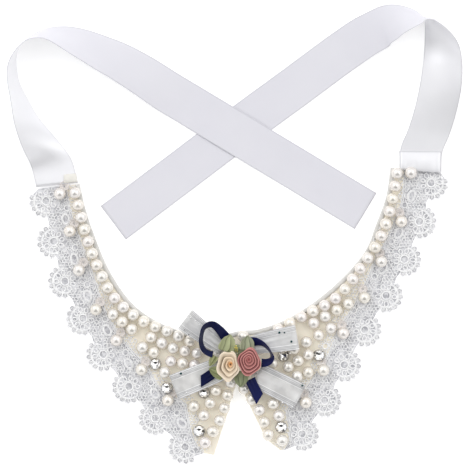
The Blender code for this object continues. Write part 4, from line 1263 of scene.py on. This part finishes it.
def build_stone(name, x, y):
    """A cut crystal held in a round claw setting."""
    verts, faces = [], []
    for z, radius, turn in STONE_RINGS:
        for i in range(STONE_SIDES):
            angle = 2 * pi * (i + turn) / STONE_SIDES
            verts.append((x + radius * cos(angle), y + radius * sin(angle),
                          z + vary(-0.16, 0.16) * (radius > 2.0)))
    for ring in range(len(STONE_RINGS) - 1):
        for i, j in next_corners(STONE_SIDES):
            a, b = ring * STONE_SIDES, (ring + 1) * STONE_SIDES
            faces.append((a + i, a + j, b + i))
            faces.append((a + j, b + j, b + i))
    table = len(verts)
    verts.append((x, y, STONE_TABLE))
    foot = len(verts)
    verts.append((x, y, STONE_FOOT))
    for i, j in next_corners(STONE_SIDES):
        faces.append((table - STONE_SIDES + i, table - STONE_SIDES + j, table))
        faces.append((foot, j, i))
    gem = Shape()
    gem.add(verts, faces)
    keep(gem.build(name + "_crystal", CRYSTAL, smooth=False), "crystal in a nickel setting", name)
    setting = Shape()
    angles = np.linspace(0, 2 * pi, 24, endpoint=False)
    for height, radius, thick in SETTING_RINGS:
        setting.tube([(x + radius * cos(a), y + radius * sin(a), height) for a in angles],
                     thick, 6, closed=True)
    for k in range(4):
        angle = pi * (2 * k + 1) / 4
        way = np.array([cos(angle), sin(angle)])
        setting.tube([(x + way[0] * r, y + way[1] * r, z) for r, z in CLAW], CLAW_THICKNESS, 6)
    keep(setting.build(name + "_setting", NICKEL), "crystal in a nickel setting")


# Stage: each lamp's name, place in metres and power
LAMPS = (("key", (-0.7, 0.8, 1.2), 3.0), ("fill", (0.9, 0.5, 1.2), 1.5))
LAMP_SIZE = 0.7
TENT_LIGHT, TENT_DARK, TENT_WALL = 1.22, 0.06, 0.7
WEDGE_SLOPE, WEDGE_START, WEDGE_SOFTNESS, WEDGE_END = 1.0, 0.08, 0.2, 0.9
FLOOR_HALF = 3.0
FLOOR_GLOW = 0.32
SENSOR = 36.0


def build_floor():
    half = FLOOR_HALF
    data = bpy.data.meshes.new("floor")
    corners = [(-half, -half, 0), (half, -half, 0), (half, half, 0), (-half, half, 0)]
    data.from_pydata(corners, [], [(0, 1, 2, 3)])
    paint = Paint("floor_white", Roughness=0.95, Specular_IOR_Level=0.0,
                  Base_Color=(0.93, 0.93, 0.93, 1.0),
                  Emission_Color=(1.0, 1.0, 1.0, 1.0), Emission_Strength=FLOOR_GLOW)
    data.materials.append(paint.material)
    floor = add_object("floor", data)


def build_camera():
    camera = bpy.data.cameras.new("camera")
    camera.sensor_width = SENSOR
    camera.lens = SENSOR * CAMERA_HEIGHT / FRAME_WIDTH
    camera.clip_start = 0.1
    camera.clip_end = 100.0
    holder = add_object("camera", camera)
    holder.location = (VIEW_CENTRE[0] * MM, VIEW_CENTRE[1] * MM, CAMERA_HEIGHT * MM)
    bpy.context.scene.camera = holder


def build_lamps():
    for name, place, power in LAMPS:
        light = bpy.data.lights.new(name, "AREA")
        light.shape = "SQUARE"
        light.size = LAMP_SIZE
        light.energy = power
        lamp = add_object(name, light)
        lamp.location = place
        lamp.rotation_mode = "QUATERNION"
        lamp.rotation_quaternion = (-Vector(place)).to_track_quat("-Z", "Y")


def build_tent():
    """A pale world that is dark only overhead, where the photographer stands."""
    world = bpy.data.worlds.new("tent")
    world.use_nodes = True
    tree = world.node_tree

    def sums(operation, first, second):
        made = tree.nodes.new("ShaderNodeMath")
        made.operation = operation
        for index, value in enumerate((first, second)):
            if isinstance(value, (int, float)):
                made.inputs[index].default_value = value
            elif value is not None:
                tree.links.new(value, made.inputs[index])
        return made.outputs[0]

    def ramp(value, low, high):
        made = tree.nodes.new("ShaderNodeMapRange")
        made.interpolation_type = "SMOOTHSTEP"
        made.inputs["From Min"].default_value = low
        made.inputs["From Max"].default_value = high
        tree.links.new(value, made.inputs["Value"])
        return made.outputs["Result"]

    parts = tree.nodes.new("ShaderNodeSeparateXYZ")
    tree.links.new(tree.nodes.new("ShaderNodeTexCoord").outputs["Generated"], parts.inputs[0])
    height = sums("MAXIMUM", parts.outputs["Z"], 0.02)
    sideways = sums("ABSOLUTE", sums("DIVIDE", parts.outputs["X"], height), None)
    forward = sums("DIVIDE", parts.outputs["Y"], height)
    wedge = sums("ADD", sums("MULTIPLY", sideways, WEDGE_SLOPE), forward)
    beside = ramp(wedge, WEDGE_START, WEDGE_START + WEDGE_SOFTNESS)
    behind = ramp(sums("MULTIPLY", forward, -1.0), WEDGE_END, WEDGE_END + 0.4)
    bright = sums("MAXIMUM", beside, behind)
    strength = sums("ADD", sums("MULTIPLY", bright, TENT_LIGHT - TENT_DARK), TENT_DARK)
    overhead = ramp(parts.outputs["Z"], -0.1, 0.75)
    wall = sums("ADD", sums("MULTIPLY", overhead, 1 - TENT_WALL), TENT_WALL)
    strength = sums("MULTIPLY", strength, wall)
    tree.links.new(strength, tree.nodes["Background"].inputs["Strength"])
    tree.nodes["Background"].inputs["Color"].default_value = (1.0, 1.0, 1.0, 1.0)
    bpy.context.scene.world = world


def main():
    build_floor()
    build_camera()
    build_lamps()
    build_tent()
    view = bpy.context.scene.view_settings
    view.view_transform = "Standard"
    view.look = "None"
    view.exposure = 0.0
    build_bib()
    build_pearls()
    for name, tape, seam, corner, top_first in (
            ("lace_left", LEFT_TAPE, LEFT_SEAM, LEFT_LACE_TOP, True),
            ("lace_right", RIGHT_TAPE, RIGHT_SEAM, RIGHT_LACE_TOP, False)):
        build_lace(name, tape, seam, corner, top_first)
    spots = pearl_places() + [tuple(stone[1:3]) for stone in STONES]
    for name, seam, places, shift in (("lace_left", LEFT_SEAM, LEFT_LACE_PEARLS, LEFT_CUP),
                                      ("lace_right", RIGHT_SEAM, RIGHT_LACE_PEARLS, RIGHT_CUP)):
        build_overlay(name, seam, spots)
        build_lace_beads(name, places, shift)
    right_hem, left_tab = HEMS
    build_tie("tie_left", LEFT_TIE, MATT_BACK, SATIN, build_hem(left_tab, CREAM))
    build_tie("tie_right", RIGHT_TIE, SATIN, MATT_BACK, build_hem(right_hem, SATIN))
    build_bow()
    for stone in STONES:
        build_stone(*stone)


main()
